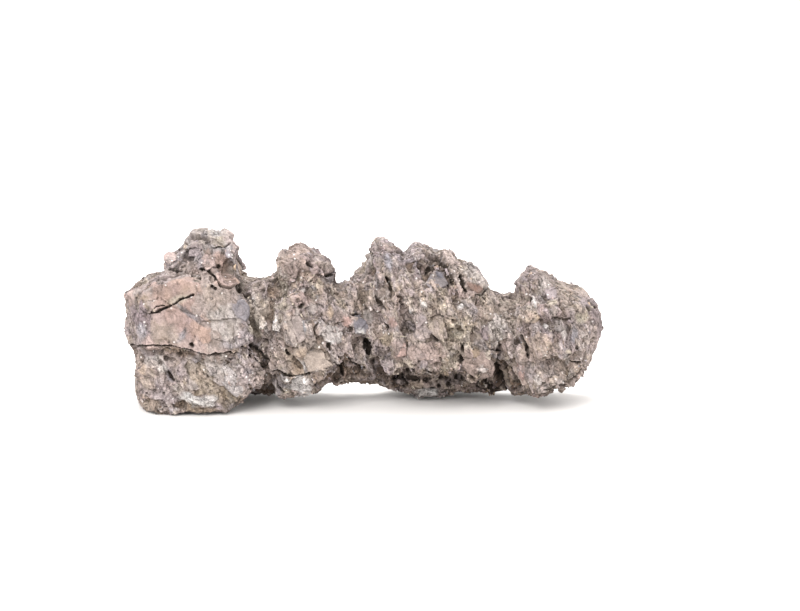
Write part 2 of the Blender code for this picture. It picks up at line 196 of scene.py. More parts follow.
# How far noise moves a patch's edge, and half the width over which it fades, in millimetres. The
# next line holds both to shares of the patch's lesser half measure.
PATCH_RAGGED_MM, PATCH_FADE_MM = 2.4, 1.1
MOST_RAGGED, LEAST_FADE, MOST_FADE = 0.34, 0.07, 0.3


def patch(across, up, ragged, place, seed):
    """Points inside a broken, straight-sided patch of the front, and how far inside each is.

    A point's measure is the largest, over six sides, of (u cos a + v sin a) / h, where u and v are
    its distances from the middle in half widths and half heights, a is the side's direction and h
    its reach. Uneven noise is added. It turns from 1 inside to 0 outside where the measure is 1.
    """
    middle_across, middle_up, wide, tall, lean = place
    dx, dz = across - middle_across, up - middle_up
    near = np.nonzero(dx * dx + dz * dz < (PATCH_SEARCH * max(wide, tall)) ** 2)[0]
    turn = math.radians(lean)
    u = (dx[near] * math.cos(turn) + dz[near] * math.sin(turn)) / wide
    v = (-dx[near] * math.sin(turn) + dz[near] * math.cos(turn)) / tall
    rng = np.random.default_rng(seed)
    uneven = rng.uniform(-0.3, 0.3, PATCH_SIDES)
    sides = (np.arange(PATCH_SIDES) + uneven + rng.random()) * math.tau / PATCH_SIDES
    reach = rng.uniform(*PATCH_REACH, PATCH_SIDES)
    measure = np.full(len(near), -1.0)
    for side, far in zip(sides, reach):
        measure = np.maximum(measure, (u * math.cos(side) + v * math.sin(side)) / far)
    small = min(wide, tall)
    measure += ragged[near] * min(PATCH_RAGGED_MM / small, MOST_RAGGED)
    edge = min(max(PATCH_FADE_MM / small, LEAST_FADE), MOST_FADE)
    return near, 1.0 - smooth_step(measure, 1.0 - edge, 1.0 + edge)


def run_distance(across, up, run):
    """The distance from a bent line on the front, in half the width that the line has there.

    The line is a list of (across, up, half width). Each stretch's nearest point is found by
    projection, and its width is mixed in the same share.
    """
    best = np.full(len(across), 1e9)
    for (x0, z0, w0), (x1, z1, w1) in zip(run, run[1:]):
        dx, dz = x1 - x0, z1 - z0
        share = ((across - x0) * dx + (up - z0) * dz) / (dx * dx + dz * dz)
        share = np.clip(share, 0.0, 1.0)
        off = np.hypot(across - x0 - share * dx, up - z0 - share * dz)
        best = np.minimum(best, off / (w0 + share * (w1 - w0)))
    return best


# Cracks and clefts on the front: (across, up, half width), all in millimetres, and their depth.
CRACKS = [
    # the block's slit, ledge and spots
    ([(-181, 76, 0.5), (-174, 78, 1.0), (-168, 81, 0.9), (-160, 84, 0.6)], 5.0),
    ([(-160, 84, 0.5), (-155, 88, 1.0), (-144, 92, 0.6)], 4.5),
    ([(-180, 77, 0.3), (-175, 82, 0.6), (-168, 83, 0.3)], 2.0),
    ([(-196, 49, 0.6), (-191, 48, 1.0), (-185, 48, 0.5)], 4.0),
    ([(-177, 49, 0.6), (-168, 48, 1.2), (-162, 48, 0.8)], 5.0),
    ([(-162, 48, 0.6), (-150, 45, 0.7), (-140, 43, 0.5), (-131, 41, 0.5)], 3.0),
    ([(-202, 50, 0.6), (-191, 49, 0.7), (-177, 49, 0.6)], 3.5),
    ([(-110, 41, 0.5), (-103, 44, 0.4)], 2.5),
    ([(-131, 41, 0.6), (-125, 41, 1.5), (-120, 42, 1.0), (-113, 43, 0.9), (-110, 41, 0.3)], 6.0),
    ([(-146, 50, 1.7), (-145, 49, 1.7)], 4.0),
    ([(-156, 44, 0.9), (-155, 42, 0.7)], 3.0),
    ([(-165, 27, 0.8), (-163, 23, 1.3), (-160, 20, 0.7)], 4.0),
    # the knob: its overhanging tongue and seams
    ([(-138, 114, 1.2), (-132, 112, 1.7), (-127, 109, 1.2), (-125, 104, 0.9)], 6.0),
    ([(-125, 104, 0.9), (-121, 99, 1.0), (-113, 98, 1.2), (-108, 100, 0.6)], 5.0),
    ([(-113, 117, 1.2), (-109, 111, 2.0), (-107, 108, 1.0)], 6.0),
    ([(-106, 101, 1.0), (-104, 96, 1.2), (-100, 91, 0.8)], 5.0),
    ([(-164, 113, 0.9), (-158, 113, 1.3), (-154, 114, 0.4)], 5.0),
    ([(-146, 130, 1.1), (-138, 130, 0.9)], 4.0),
    ([(-128, 130, 0.5), (-121, 132, 0.9), (-113, 136, 0.6)], 4.0),
    ([(-123, 116, 1.5), (-122, 115, 1.3)], 3.5),
    # between the block and the nearer tower
    ([(-98, 69, 1.0), (-96, 67, 0.8)], 3.0),
    ([(-96, 54, 1.6), (-92, 49, 2.8), (-88, 43, 3.6), (-84, 37, 2.2)], 9.0),
    ([(-97, 46, 1.0), (-94, 42, 1.3)], 4.0),
    ([(-86, 33, 0.5), (-77, 28, 0.9), (-66, 25, 1.1), (-58, 24, 0.6), (-49, 24, 0.9), (-45, 28, 1.1)], 4.5),
    ([(-77, 24, 0.7), (-74, 16, 1.3), (-69, 9, 1.0)], 6.0),
    # the nearer tower
    ([(-49, 118, 1.6), (-45, 116, 1.8)], 5.0),
    ([(-33, 108, 0.8), (-28, 109, 1.4), (-23, 112, 1.3)], 6.0),
    ([(-54, 82, 1.8), (-53, 83, 1.6)], 4.5),
    ([(-39, 69, 0.8), (-41, 61, 1.2), (-40, 54, 0.5)], 3.0),
    ([(-46, 42, 0.7), (-40, 43, 0.9), (-35, 42, 0.5)], 2.5),
    ([(-30, 50, 1.4), (-29, 46, 1.2)], 4.0),
    ([(-66, 46, 1.4), (-64, 42, 1.0)], 3.5),
    # the waist
    ([(-11, 75, 0.8), (-6, 76, 0.6)], 3.0),
    ([(-1, 54, 0.9), (1, 48, 2.0), (4, 41, 2.4), (7, 35, 1.6)], 9.0),
    ([(-20, 31, 1.6), (-19, 26, 1.8)], 6.0),
    ([(-10, 36, 1.2), (-6, 31, 1.7), (-4, 26, 1.2)], 6.0),
    # the further tower
    ([(4, 128, 0.7), (5, 120, 1.1), (6, 113, 1.4)], 5.0),
    ([(10, 90, 0.9), (13, 83, 1.2), (16, 79, 1.2)], 3.0),
    ([(23, 92, 0.8), (24, 84, 1.4)], 4.0),
    ([(17, 109, 1.4), (20, 103, 1.3), (21, 97, 1.0)], 4.0),
    ([(52, 112, 1.6), (56, 117, 2.4), (63, 119, 2.4), (69, 116, 1.8)], 4.5),
    ([(71, 113, 1.5), (74, 107, 2.2), (73, 101, 1.4)], 4.0),
    ([(80, 108, 1.2), (82, 101, 1.8), (84, 95, 1.2)], 5.0),
    ([(92, 92, 0.5), (98, 91, 0.8), (101, 88, 0.5)], 2.5),
    ([(101, 96, 0.6), (99, 92, 0.5)], 2.0),
    ([(55, 73, 0.4), (62, 74, 0.7), (70, 71, 0.5)], 1.5),
    ([(57, 56, 0.9), (59, 54, 0.8)], 3.0),
    ([(79, 52, 1.1), (81, 47, 1.7), (82, 43, 1.0)], 7.0),
    ([(16, 68, 1.1), (18, 65, 1.4)], 4.0),
    ([(34, 56, 0.8), (35, 47, 1.0), (35, 41, 0.6)], 2.5),
    ([(52, 28, 1.4), (58, 26, 1.6)], 5.0),
    ([(22, 20, 1.4), (27, 23, 1.6), (33, 20, 1.0)], 5.0),
    # the neck and the lobe
    ([(103, 47, 0.7), (108, 46, 0.9), (113, 45, 0.6)], 3.0),
    ([(108, 40, 1.8), (110, 31, 4.4), (113, 20, 4.6), (117, 11, 3.6)], 11.0),
    ([(122, 30, 1.0), (124, 20, 1.6), (128, 12, 1.4)], 5.0),
    ([(131, 58, 0.8), (134, 52, 1.5), (136, 44, 1.6), (137, 39, 0.8)], 7.0),
    ([(146, 105, 1.0), (147, 100, 1.5)], 4.0),
    ([(139, 89, 1.4), (139, 86, 1.2)], 4.0),
    ([(156, 73, 0.6), (163, 72, 1.1), (172, 71, 0.6)], 2.0),
    ([(173, 35, 0.6), (178, 34, 1.0), (182, 35, 0.5)], 3.5),
    ([(192, 82, 1.1), (193, 81, 0.9)], 3.0),
    ([(150, 12, 0.6), (158, 10, 1.0), (167, 12, 0.6)], 3.0),
]

# Ridges and lips on the front: (across, up, half width) in millimetres, and how far they stand up.
RIDGES = [
    ([(-67, 68, 0.8), (-58, 47, 1.1), (-48, 27, 0.8)], 1.6),
    ([(-74, 100, 1.0), (-75, 86, 1.2), (-79, 70, 0.8)], 1.6),
    ([(0, 126, 0.8), (1, 116, 1.2), (4, 106, 0.9)], 1.8),
    ([(9, 132, 1.0), (11, 116, 1.3), (14, 100, 0.9)], 1.8),
    ([(19, 126, 1.0), (22, 112, 1.3), (25, 96, 1.2), (29, 80, 0.8)], 1.8),
    ([(30, 116, 0.9), (37, 103, 1.2), (43, 91, 0.9)], 1.5),
    ([(66, 128, 1.2), (71, 119, 1.8), (76, 112, 1.0)], 2.0),
    ([(86, 118, 1.2), (93, 108, 1.6), (100, 98, 1.0)], 1.5),
    ([(-162, 83, 0.5), (-168, 88, 0.7), (-172, 90, 0.4)], 0.8),
    ([(138, 92, 0.8), (142, 84, 1.2), (147, 76, 0.8)], 1.4),
    ([(-153, 10, 0.8), (-147, 4, 1.3), (-138, 1, 1.3), (-126, 4, 0.9)], 1.6),
]

# Where the skin is shifted to meet the outline: across, up, half width and half height of a soft
# spot, how far it is shifted across and up, and how far back it reaches, all in millimetres.
SHIFTS = [
    (-203, 90, 7, 10, -2.0, 1.0, 90),
    (-191, 14, 9, 20, -4.0, -0.5, 90),
    (-101, 118, 8, 13, -4.0, -1.5, 90),
    (-71, 124, 5, 10, -2.5, 1.5, 90),
    (-57, 4, 15, 7, 0.0, 3.0, 90),
    (-10, 113, 9, 9, 0.0, -4.5, 90),
    (33, 134, 7, 7, 0.0, -2.0, 90),
    (62, 131, 7, 7, 0.0, -2.0, 90),
    (62, 4, 28, 7, 0.0, 3.5, 4),
    (166, 6, 11, 8, -1.0, 5.0, 90),
    (176, 108, 12, 8, -0.5, -2.0, 90),
    (193, 36, 9, 20, -2.5, 0.5, 90),
]

# What the front shows, patch by patch: across and up of the middle, half width, half height and
# lean; how calm the surface is; how far it stands out, or sinks if negative; its colour, and how
# strongly that colour shows. A later patch lies over the ones before it.
# Some sunk brown and umber patches paint the shade of clefts, ledges and recesses into the colour.
PATCHES = [
    # the block's split face
    (-150, 76, 50, 34, -10, 0.88, 0.0, "pale rose", 0.75),
    (-124, 80, 20, 32, 0, 0.80, 0.0, "ash", 0.65),
    (-174, 96, 26, 9, 34, 0.80, 0.0, "lilac", 0.40),
    (-160, 93, 25, 9, 14, 0.90, 0.0, "rose", 0.45),
    (-152, 72, 17, 11, -40, 0.94, 0.4, "rose", 0.50),
    (-140, 63, 13, 8, -20, 0.94, 0.3, "salmon", 0.60),
    (-147, 95, 9, 4, 20, 0.92, 0.2, "salmon", 0.35),
    (-168, 58, 14, 7, -30, 0.86, 0.0, "tan", 0.30),
    (-157, 88, 9, 3.5, 24, 0.90, 0.5, "cream", 0.50),
    (-148, 76, 15, 1.8, -38, 0.80, -0.5, "blue grey", 0.45),
    (-133, 68, 9, 1.8, -38, 0.80, -0.4, "lilac", 0.45),
    (-153, 58, 2.4, 7, -24, 0.80, -0.3, "blue grey", 0.50),
    (-120, 90, 10, 10, 20, 0.70, 0.5, "grey", 0.60),
    (-118, 60, 10, 8, -20, 0.80, 0.5, "dusk", 0.40),
    (-112, 52, 9, 5, -10, 0.70, 0.4, "blue grey", 0.35),
    (-193, 68, 9, 20, 0, 0.35, -0.5, "lilac", 0.40),
    (-186, 82, 5, 9, 0, 0.50, 0.0, "tan", 0.30),
    (-189, 73, 8, 11, 0, 0.50, 0.0, "dark lilac", 0.85),
    (-117, 70, 12, 11, 0, 0.75, 0.4, "white", 0.50),
    (-188, 62, 4, 6, 0, 0.50, 0.6, "blue grey", 0.60),
    (-102, 79, 6.5, 10.5, 20, 0.96, 0.8, "slate", 0.70),
    (-99, 70, 3, 5, 20, 0.90, 0.4, "lilac", 0.60),
    # the block's lower half
    (-166, 22, 26, 24, 0, 0.45, -0.8, "lilac", 0.45),
    # painted shade under the block's ledge
    (-154, 42, 14, 3.5, -12, 0.30, -1.8, "brown", 0.65),
    (-164, 24, 3, 6, 24, 0.60, -1.2, "dark slate", 0.75),
    (-170, 30, 4, 4, 0, 0.60, 0.6, "snow", 0.45),
    (-156, 14, 5, 4, 0, 0.50, 0.5, "white", 0.40),
    (-174, 14, 4, 4, 0, 0.50, 0.5, "dark lilac", 0.50),
    (-146, 36, 4, 3, 0, 0.60, 0.6, "white", 0.45),
    (-140, 37, 5, 4, -20, 0.60, 0.4, "blue grey", 0.45),
    (-183, 30, 4, 5, 0, 0.50, 0.3, "tan", 0.45),
    (-176, 36, 7, 5, 0, 0.50, 0.6, "white", 0.50),
    (-152, 30, 7, 6, 0, 0.60, 0.8, "lilac", 0.55),
    (-161, 36, 5, 5, 0, 0.50, 0.5, "ash", 0.50),
    (-171, 8, 8, 6, 0, 0.55, 0.8, "lilac", 0.55),
    (-180, 20, 5, 8, 0, 0.40, 0.3, "ash", 0.40),
    (-133, 20, 19, 14, -25, 0.50, -0.6, "olive", 0.55),
    (-145, 15, 5, 4, 0, 0.70, 0.6, "blue grey", 0.40),
    (-136, 25, 5, 3, -30, 0.70, 0.6, "tan", 0.40),
    (-117, 24, 22, 11, -38, 0.50, 1.0, "silver", 0.45),
    (-112, 19, 6, 4, -38, 0.60, 0.8, "pale rose", 0.45),
    (-126, 33, 8, 3.5, -38, 0.65, 0.6, "white", 0.70),
    (-117, 30, 4, 3, -38, 0.70, 0.6, "snow", 0.60),
    (-106, 13, 4, 3, 0, 0.70, 0.6, "snow", 0.50),
    (-96, 20, 10, 13, 0, 0.40, 0.0, "lilac", 0.45),
    (-94, 26, 5, 4, 0, 0.50, 0.5, "blue grey", 0.50),
    (-140, 3, 15, 3.4, -14, 0.60, 1.2, "snow", 0.85),
    (-148, 7, 5, 2.6, -45, 0.60, 1.2, "snow", 1.00),
    (-131, 4, 9, 2.8, 10, 0.60, 1.4, "snow", 0.65),
    # painted shade in the hollow at the block's foot
    (-156, -1, 5, 3.4, 20, 0.30, -2.5, "umber", 0.70),
    (-116, 3, 8, 6, 0, 0.50, -1.2, "moss", 0.50),
    (-136, -6, 17, 4, 0, 0.60, 0.0, "tan", 0.75),
    (-181, -1, 9, 6, 0, 0.60, 0.0, "tan", 0.50),
    # the knob
    (-131, 134, 25, 16, 0, 0.62, 0.0, "silver", 0.75),
    (-130, 141, 18, 6, 0, 0.70, 0.4, "white", 0.30),
    (-142, 131, 6, 9, 10, 0.80, 1.2, "lilac", 0.45),
    (-134, 138, 2.2, 8, 12, 0.50, -1.0, "slate", 0.60),
    (-122, 137, 6, 5, 0, 0.70, 0.8, "sage", 0.45),
    (-113, 140, 6, 6, 0, 0.75, 1.0, "ash", 0.55),
    (-126, 144, 5, 4, 0, 0.75, 0.6, "ice", 0.35),
    (-147, 126, 6, 4.5, 0, 0.60, -2.0, "dark slate", 0.80),
    (-132, 119, 8, 8, -10, 0.80, 1.0, "dusk", 0.55),
    (-140, 121, 4, 8, 10, 0.60, 0.4, "slate", 0.45),
    (-121, 119, 4.5, 10, 18, 0.80, 0.8, "salmon", 0.55),
    (-114, 124, 3.5, 8, 34, 0.70, 0.6, "blue grey", 0.60),
    (-106, 117, 3.5, 9, 24, 0.50, 0.4, "white", 0.35),
    (-117, 104, 11, 6, -14, 0.75, 2.8, "rose", 0.45),
    (-164, 123, 6, 4.5, 0, 0.80, 1.0, "ash", 0.60),
    (-161, 116, 7, 2.5, 0, 0.60, 0.8, "lilac", 0.60),
    (-150, 117, 6, 4, 20, 0.60, 0.2, "grey", 0.45),
    # the saddle
    (-88, 78, 9, 28, 0, 0.35, 0.8, "cream", 0.50),
    (-80, 62, 8, 15, 0, 0.35, 2.6, "white", 0.90),
    (-86, 98, 9, 7, 0, 0.40, 0.3, "ash", 0.50),
    (-90, 76, 5, 6, 0, 0.60, 0.6, "cream", 0.45),
    (-94, 87, 2.5, 9, 4, 0.40, 0.6, "white", 0.40),
    (-78, 86, 3.5, 20, -9, 0.30, -2.2, "brown", 0.65),
    (-92, 64, 4, 8, 0, 0.60, 0.6, "sage", 0.60),
    # the nearer tower
    (-61, 121, 14, 14, 0, 0.66, 0.0, "dusk", 0.55),
    (-55, 130, 11, 8, 0, 0.50, 0.2, "dusk", 0.70),
    (-34, 119, 13, 13, 0, 0.20, 0.0, "dark lilac", 0.60),
    (-38, 122, 5, 4, 20, 0.60, 0.8, "lilac", 0.40),
    (-30, 116, 5, 4, -30, 0.60, 0.8, "grey", 0.40),
    (-30, 104, 8, 4.5, 0, 0.60, -1.0, "slate", 0.60),
    (-68, 96, 4, 12, 0, 0.30, 0.4, "sage", 0.50),
    (-52, 95, 3.5, 2.6, 20, 0.90, 0.6, "white", 0.75),
    (-52, 88, 10, 5, -20, 0.50, 0.6, "rose", 0.30),
    (-68, 82, 7, 4, 0, 0.40, 0.6, "sage", 0.50),
    (-45, 81, 4, 4, 0, 0.80, 0.8, "white", 0.50),
    (-29, 78, 3, 6, 0, 0.60, 0.8, "tan", 0.80),
    (-58, 64, 8, 14, 32, 0.80, 0.8, "sand", 0.45),
    (-54, 66, 4, 8, 20, 0.90, 0.4, "ice", 0.60),
    (-41, 62, 3, 8, 0, 0.40, -1.2, "brown", 0.50),
    (-77, 50, 9, 17, 15, 0.15, -0.8, "grey", 0.45),
    # painted shade on a facet of the nearer tower
    (-60, 41, 6, 12, 25, 0.60, -0.6, "brown", 0.45),
    (-27, 59, 9, 8, 0, 0.50, 1.2, "white", 0.65),
    (-27, 55, 4.5, 4, -20, 0.85, 1.6, "snow", 0.95),
    (-37, 53, 4, 4, 0, 0.50, -1.2, "brown", 0.50),
    (-41, 38, 15, 9.5, -14, 0.97, 1.6, "sand", 0.95),
    (-46, 35, 7, 7, 20, 0.97, 1.8, "snow", 0.60),
    (-52, 43, 4, 5, 0, 0.80, 0.6, "tan", 0.60),
    # painted shadow beneath the block's right corner and the hanging clast
    (-84, 8, 13, 8, 0, 0.00, -1.5, "umber", 0.90),
    (-88, 26, 9, 8, 0, 0.30, 2.6, "ash", 0.50),
    (-71, 17, 6, 10, 10, 0.55, 0.4, "blue grey", 0.50),
    (-54, 15, 10, 8, 10, 0.55, 1.2, "snow", 0.80),
    (-67, 10, 4, 4, 0, 0.60, 0.4, "sage", 0.45),
    (-38, 22, 9, 6, 0, 0.20, -0.8, "brown", 0.50),
    # the waist
    (-8, 66, 22, 40, 0, 0.35, 0.0, "grey", 0.35),
    (-9, 86, 15, 10, 0, 0.30, 0.0, "olive", 0.35),
    (-9, 48, 9, 11, 0, 0.35, 0.0, "grey", 0.50),
    (-13, 29, 11, 9, 0, 0.00, -3.5, "umber", 0.55),
    (-27, 22, 6, 4, 0, 0.00, -3.5, "umber", 0.80),
    (-15, 69, 4.5, 4.5, 0, 0.85, 0.8, "rose", 0.80),
    (-4, 68, 6.5, 6.5, 10, 0.92, 1.0, "flint", 0.90),
    (-3, 60, 4, 1.6, -35, 0.90, 1.0, "snow", 1.00),
    (2, 74, 2.6, 5, 30, 0.85, 1.0, "white", 0.80),
    # the further tower, top
    (14, 124, 14, 14, 0, 0.20, 0.0, "dark lilac", 0.40),
    (3, 122, 2.6, 8, 6, 0.40, 1.2, "white", 0.45),
    (5, 111, 4, 3, 0, 0.10, -3.0, "umber", 0.70),
    (20, 120, 2.6, 9, 10, 0.50, 0.8, "blue grey", 0.80),
    (16, 87, 6, 11, 14, 0.55, -2.0, "brown", 0.50),
    (13, 95, 4, 5, 10, 0.50, -1.5, "dark lilac", 0.40),
    (19, 102, 3.5, 7, 0, 0.00, -2.0, "umber", 0.50),
    (26, 92, 3, 10, 10, 0.60, 1.2, "blue grey", 0.65),
    (34, 115, 8, 8, 0, 0.20, -1.0, "brown", 0.40),
    (43, 124, 16, 9, 0, 0.20, 0.0, "lilac", 0.50),
    (40, 96, 3, 8, 28, 0.60, 1.0, "cream", 0.60),
    (62, 111, 15, 11, 0, 0.10, -3.0, "umber", 0.50),
    (60, 105, 7, 7, 0, 0.90, 0.5, "flint", 1.00),
    (45, 102, 3, 2.4, 0, 0.80, 1.0, "snow", 0.80),
    (71, 121, 4, 9, 26, 0.40, 1.8, "ash", 0.60),
    (84, 114, 12, 10, 30, 0.30, 0.2, "grey", 0.50),
    (92, 108, 6, 12, 38, 0.35, 1.0, "silver", 0.45),
    (92, 98, 6.5, 3.4, -33, 0.90, 1.4, "terracotta", 0.90),
    # the further tower, middle
    (54, 70, 46, 34, 0, 0.30, 0.0, "grey", 0.30),
    (38, 78, 1.6, 2.2, 0, 0.90, 0.8, "snow", 1.00),
    (49, 85, 2.4, 4, 40, 0.90, 1.2, "snow", 0.90),
    # a glint, painted as a white spot
    (80, 82, 3, 2.4, 0, 0.60, 0.8, "snow", 0.80),
    (70, 92, 14, 8, 0, 0.05, 0.0, "brown", 0.30),
    (58, 86, 12, 6, -30, 0.10, 0.0, "olive", 0.35),
    (18, 55, 5, 6, 0, 0.50, -0.6, "olive", 0.70),
    (23, 69, 4, 3.4, -30, 0.80, 0.8, "rose", 0.75),
    (61, 63, 6, 9, 12, 0.85, 0.8, "sand", 0.45),
    (48, 59, 7, 6, 0, 0.70, 0.8, "lilac", 0.60),
    (48, 69, 4, 6, 0, 0.70, 0.6, "lilac", 0.50),
    (30, 47, 5.5, 8, 0, 0.75, 1.0, "dusk", 0.60),
    (50, 45, 15, 8, -6, 0.55, 1.0, "dusk", 0.65),
    (52, 43, 5, 5, 0, 0.65, 0.4, "dusk", 0.70),
    (72, 62, 5, 8, 8, 0.30, 0.0, "olive", 0.40),
    (84, 66, 10, 10, 0, 0.10, 0.0, "olive", 0.30),
    (76, 62, 6, 7, -20, 0.35, 1.4, "sage", 0.50),
    (92, 43, 5, 3.6, 0, 0.80, 1.0, "tan", 0.85),
    (86, 50, 6, 4, 0, 0.40, 0.4, "cream", 0.40),
    (95, 31, 16, 8.5, -22, 0.60, 1.6, "dusk", 0.75),
    (101, 28, 6, 5, -22, 0.60, 0.6, "white", 0.50),
    # the further tower, underside
    # the underside's own brown, with painted shade
    (65, 18, 56, 10, -2, 0.00, -1.0, "umber", 0.48),
    (30, 20, 7, 4, 0, 0.60, 0.8, "lilac", 0.45),
    (44, 17, 6, 4, 0, 0.50, 0.8, "tan", 0.45),
    (60, 19, 7, 4, -20, 0.50, 0.6, "grey", 0.45),
    (35, 34, 6, 4, 0, 0.30, 0.8, "cream", 0.50),
    (80, 25, 5, 4, 0, 0.70, -2.0, "dark slate", 0.80),
    (53, 6, 10, 4.5, 0, 0.60, 0.6, "snow", 1.00),
    (98, 15, 14, 7, 0, 0.10, -0.6, "umber", 0.50),
    # the neck
    (101, 60, 4, 7, 15, 0.60, 0.4, "dark lilac", 0.70),
    (111, 58, 2.6, 5, 10, 0.80, 0.8, "white", 0.75),
    (108, 84, 10, 8, 0, 0.40, 0.8, "sand", 0.40),
    (113, 62, 9, 13, 0, 0.40, 2.0, "white", 0.60),
    (117, 49, 4, 5, 0, 0.70, 0.6, "pale rose", 0.50),
    (120, 41, 4, 4, 0, 0.70, 0.6, "tan", 0.60),
    # painted shade in the neck's black cleft, and on the crust beside it
    (120, 20, 9, 17, 8, 0.00, -2.6, "umber", 0.95),
    (111, 26, 4, 14, 8, 0.00, -3.0, "umber", 1.00),
    (130, 47, 3, 9, 5, 0.70, 1.0, "tan", 0.55),
    (130, 32, 5.5, 12, 8, 0.60, 2.2, "cream", 1.00),
    # the lobe
    (160, 58, 44, 58, 0, 0.25, 0.0, "grey", 0.25),
    (164, 60, 36, 30, 0, 0.35, 0.0, "dark lilac", 0.30),
    (140, 107, 9, 8, 0, 0.30, 0.4, "dark lilac", 0.45),
    (128, 99, 4, 5, 0, 0.50, 0.8, "lilac", 0.60),
    (151, 109, 4.5, 4, 0, 0.40, 0.6, "grey", 0.50),
    (142, 85, 2, 6, 16, 0.85, 1.2, "snow", 0.75),
    (148, 92, 4, 5, 10, 0.30, -0.8, "dark slate", 0.40),
    (156, 94, 5, 5, 0, 0.75, 0.6, "lilac", 0.80),
    (157, 87, 5, 3.6, -10, 0.75, 0.6, "cream", 0.75),
    (151, 101, 5, 5, 0, 0.40, 0.4, "white", 0.50),
    # painted shade in a small hollow of the lobe
    (153, 83, 3.5, 3.5, 0, 0.20, -1.8, "umber", 0.55),
    (168, 90, 6, 8, 20, 0.40, 0.4, "grey", 0.45),
    (163, 66, 12, 5, -4, 0.20, -0.8, "dark slate", 0.45),
    # a glint, painted as a white spot
    (151, 65, 2, 2, 0, 0.90, 0.6, "snow", 0.90),
    (142, 72, 3.2, 3.2, 0, 0.40, 0.4, "ochre", 0.60),
    (136, 74, 7, 5, 0, 0.30, 0.0, "tan", 0.40),
    (182, 74, 5, 6, 0, 0.50, 0.4, "sage", 0.65),
    (194, 75, 4, 16, 8, 0.60, 0.0, "dark lilac", 0.60),
    (183, 94, 7, 4, -28, 0.50, 0.6, "ash", 0.60),
    (185, 86, 4.5, 4.5, 0, 0.50, 0.4, "lilac", 0.55),
    (176, 82, 9, 5, -20, 0.40, 0.0, "grey", 0.40),
    (176, 58, 2.4, 8, 0, 0.75, 0.6, "blue grey", 0.70),
    (167, 58, 2.6, 3.6, 0, 0.80, 0.6, "white", 0.70),
    (169, 37, 3.6, 3.6, 0, 0.80, 0.8, "white", 0.75),
    (160, 36, 4.5, 4.5, 0, 0.60, 0.6, "brown", 0.55),
    (172, 43, 3, 2.2, -50, 0.85, 1.2, "cream", 0.90),
    (171, 20, 4.5, 4, 0, 0.10, -2.5, "umber", 0.60),
    (145, 20, 4, 4.6, 0, 0.70, 0.8, "white", 0.80),
    (146, 42, 14, 15, 0, 0.55, 0.0, "tan", 0.25),
    (150, 24, 20, 13, 0, 0.50, 0.0, "grey", 0.30),
    (186, 50, 7, 14, 0, 0.20, 0.0, "lilac", 0.35),
]

# The stone's colours, as seen.
PALETTE = {
    "snow": (232, 226, 222),
    "white": (212, 203, 198),
    "cream": (213, 199, 180),
    "pale rose": (198, 174, 167),
    "rose": (203, 168, 158),
    "dusk": (172, 151, 143),
    "sand": (205, 187, 173),
    "silver": (186, 179, 178),
    "terracotta": (146, 114, 101),
    "salmon": (206, 170, 152),
    "ash": (188, 171, 164),
    "moss": (120, 104, 78),
    "tan": (190, 167, 144),
    "ochre": (186, 160, 130),
    "lilac": (171, 157, 159),
    "dark lilac": (146, 130, 134),
    "grey": (167, 152, 144),
    "sage": (168, 159, 140),
    "olive": (168, 152, 130),
    "ice": (184, 188, 194),
    "blue grey": (160, 156, 163),
    "slate": (140, 135, 141),
    "flint": (122, 118, 125),
    "dark slate": (104, 102, 110),
    "brown": (126, 105, 87),
    "umber": (88, 69, 55),
}

# The colours of the clasts that fall anywhere, and how often each does.
CLAST_COLOURS = [
    ("pale rose", 0.12), ("lilac", 0.13), ("grey", 0.24), ("blue grey", 0.08), ("cream", 0.12),
    ("white", 0.07), ("tan", 0.09), ("brown", 0.08), ("sage", 0.07),
]
MATRIX_COLOURS = ("grey", "olive", "lilac")

# How much light the stone gives back, against its colours as seen.
BRIGHTNESS = 0.605
# How much less a calm face gives back than a rough one, whose light grains stand up.
CALM_DIMS = 0.35
# How much darker the rough tops are painted than the sides: painted shade against the light from above.
TOP_PAINTED_SHADE = 0.34


def linear(colour):
    """A colour as seen, 0 to 255, turned into light: c/12.92 below 0.04045, else the power 2.4."""
    c = np.asarray(colour, float) / 255.0
    return np.where(c <= 0.04045, c / 12.92, ((c + 0.055) / 1.055) ** 2.4)


def stone_colour(name):
    """The light that a colour of the palette gives back."""
    return linear(PALETTE[name]) * BRIGHTNESS


def pick(share):
    """Chooses a clast colour for every random number, each as often as its share says."""
    edges = np.cumsum([weight for _, weight in CLAST_COLOURS])
    index = np.searchsorted(edges / edges[-1], share)
    colours = np.array([stone_colour(name) for name, _ in CLAST_COLOURS])
    return colours[np.minimum(index, len(colours) - 1)]


# ---------------------------------------------------------------- small calls for meshes


def add_object(name, data):
    """A new object in the scene, from its mesh, lamp or camera."""
    obj = bpy.data.objects.new(name, data)
    bpy.context.scene.collection.objects.link(obj)
    return obj


def add_mesh(name, points, faces):
    """A new object from arrays of points and of faces."""
    mesh = bpy.data.meshes.new(name)
    mesh.from_pydata(points, [], faces)
    return add_object(name, mesh)


def read_points(mesh):
    """The mesh's points and their normals."""
    points = np.empty(len(mesh.vertices) * 3)
    normals = np.empty(len(mesh.vertices) * 3)
    mesh.vertices.foreach_get("co", points)
    mesh.vertices.foreach_get("normal", normals)
    return points.reshape(-1, 3), normals.reshape(-1, 3)


def give_attribute(mesh, name, values):
    """Stores one number or one colour for every point of the mesh."""
    kind = "FLOAT" if values.ndim == 1 else "FLOAT_COLOR"
    attribute = mesh.attributes.new(name, kind, "POINT")
    if values.ndim == 1:
        attribute.data.foreach_set("value", values.astype(np.float32))
    else:
        filled = np.ones((len(values), 4), np.float32)
        filled[:, :3] = values
        attribute.data.foreach_set("color", filled.ravel())


def read_tint(mesh):
    """The mesh's colour at every point."""
    tints = np.empty(len(mesh.vertices) * 4, np.float32)
    mesh.attributes["tint"].data.foreach_get("color", tints)
    return tints.reshape(-1, 4)[:, :3]


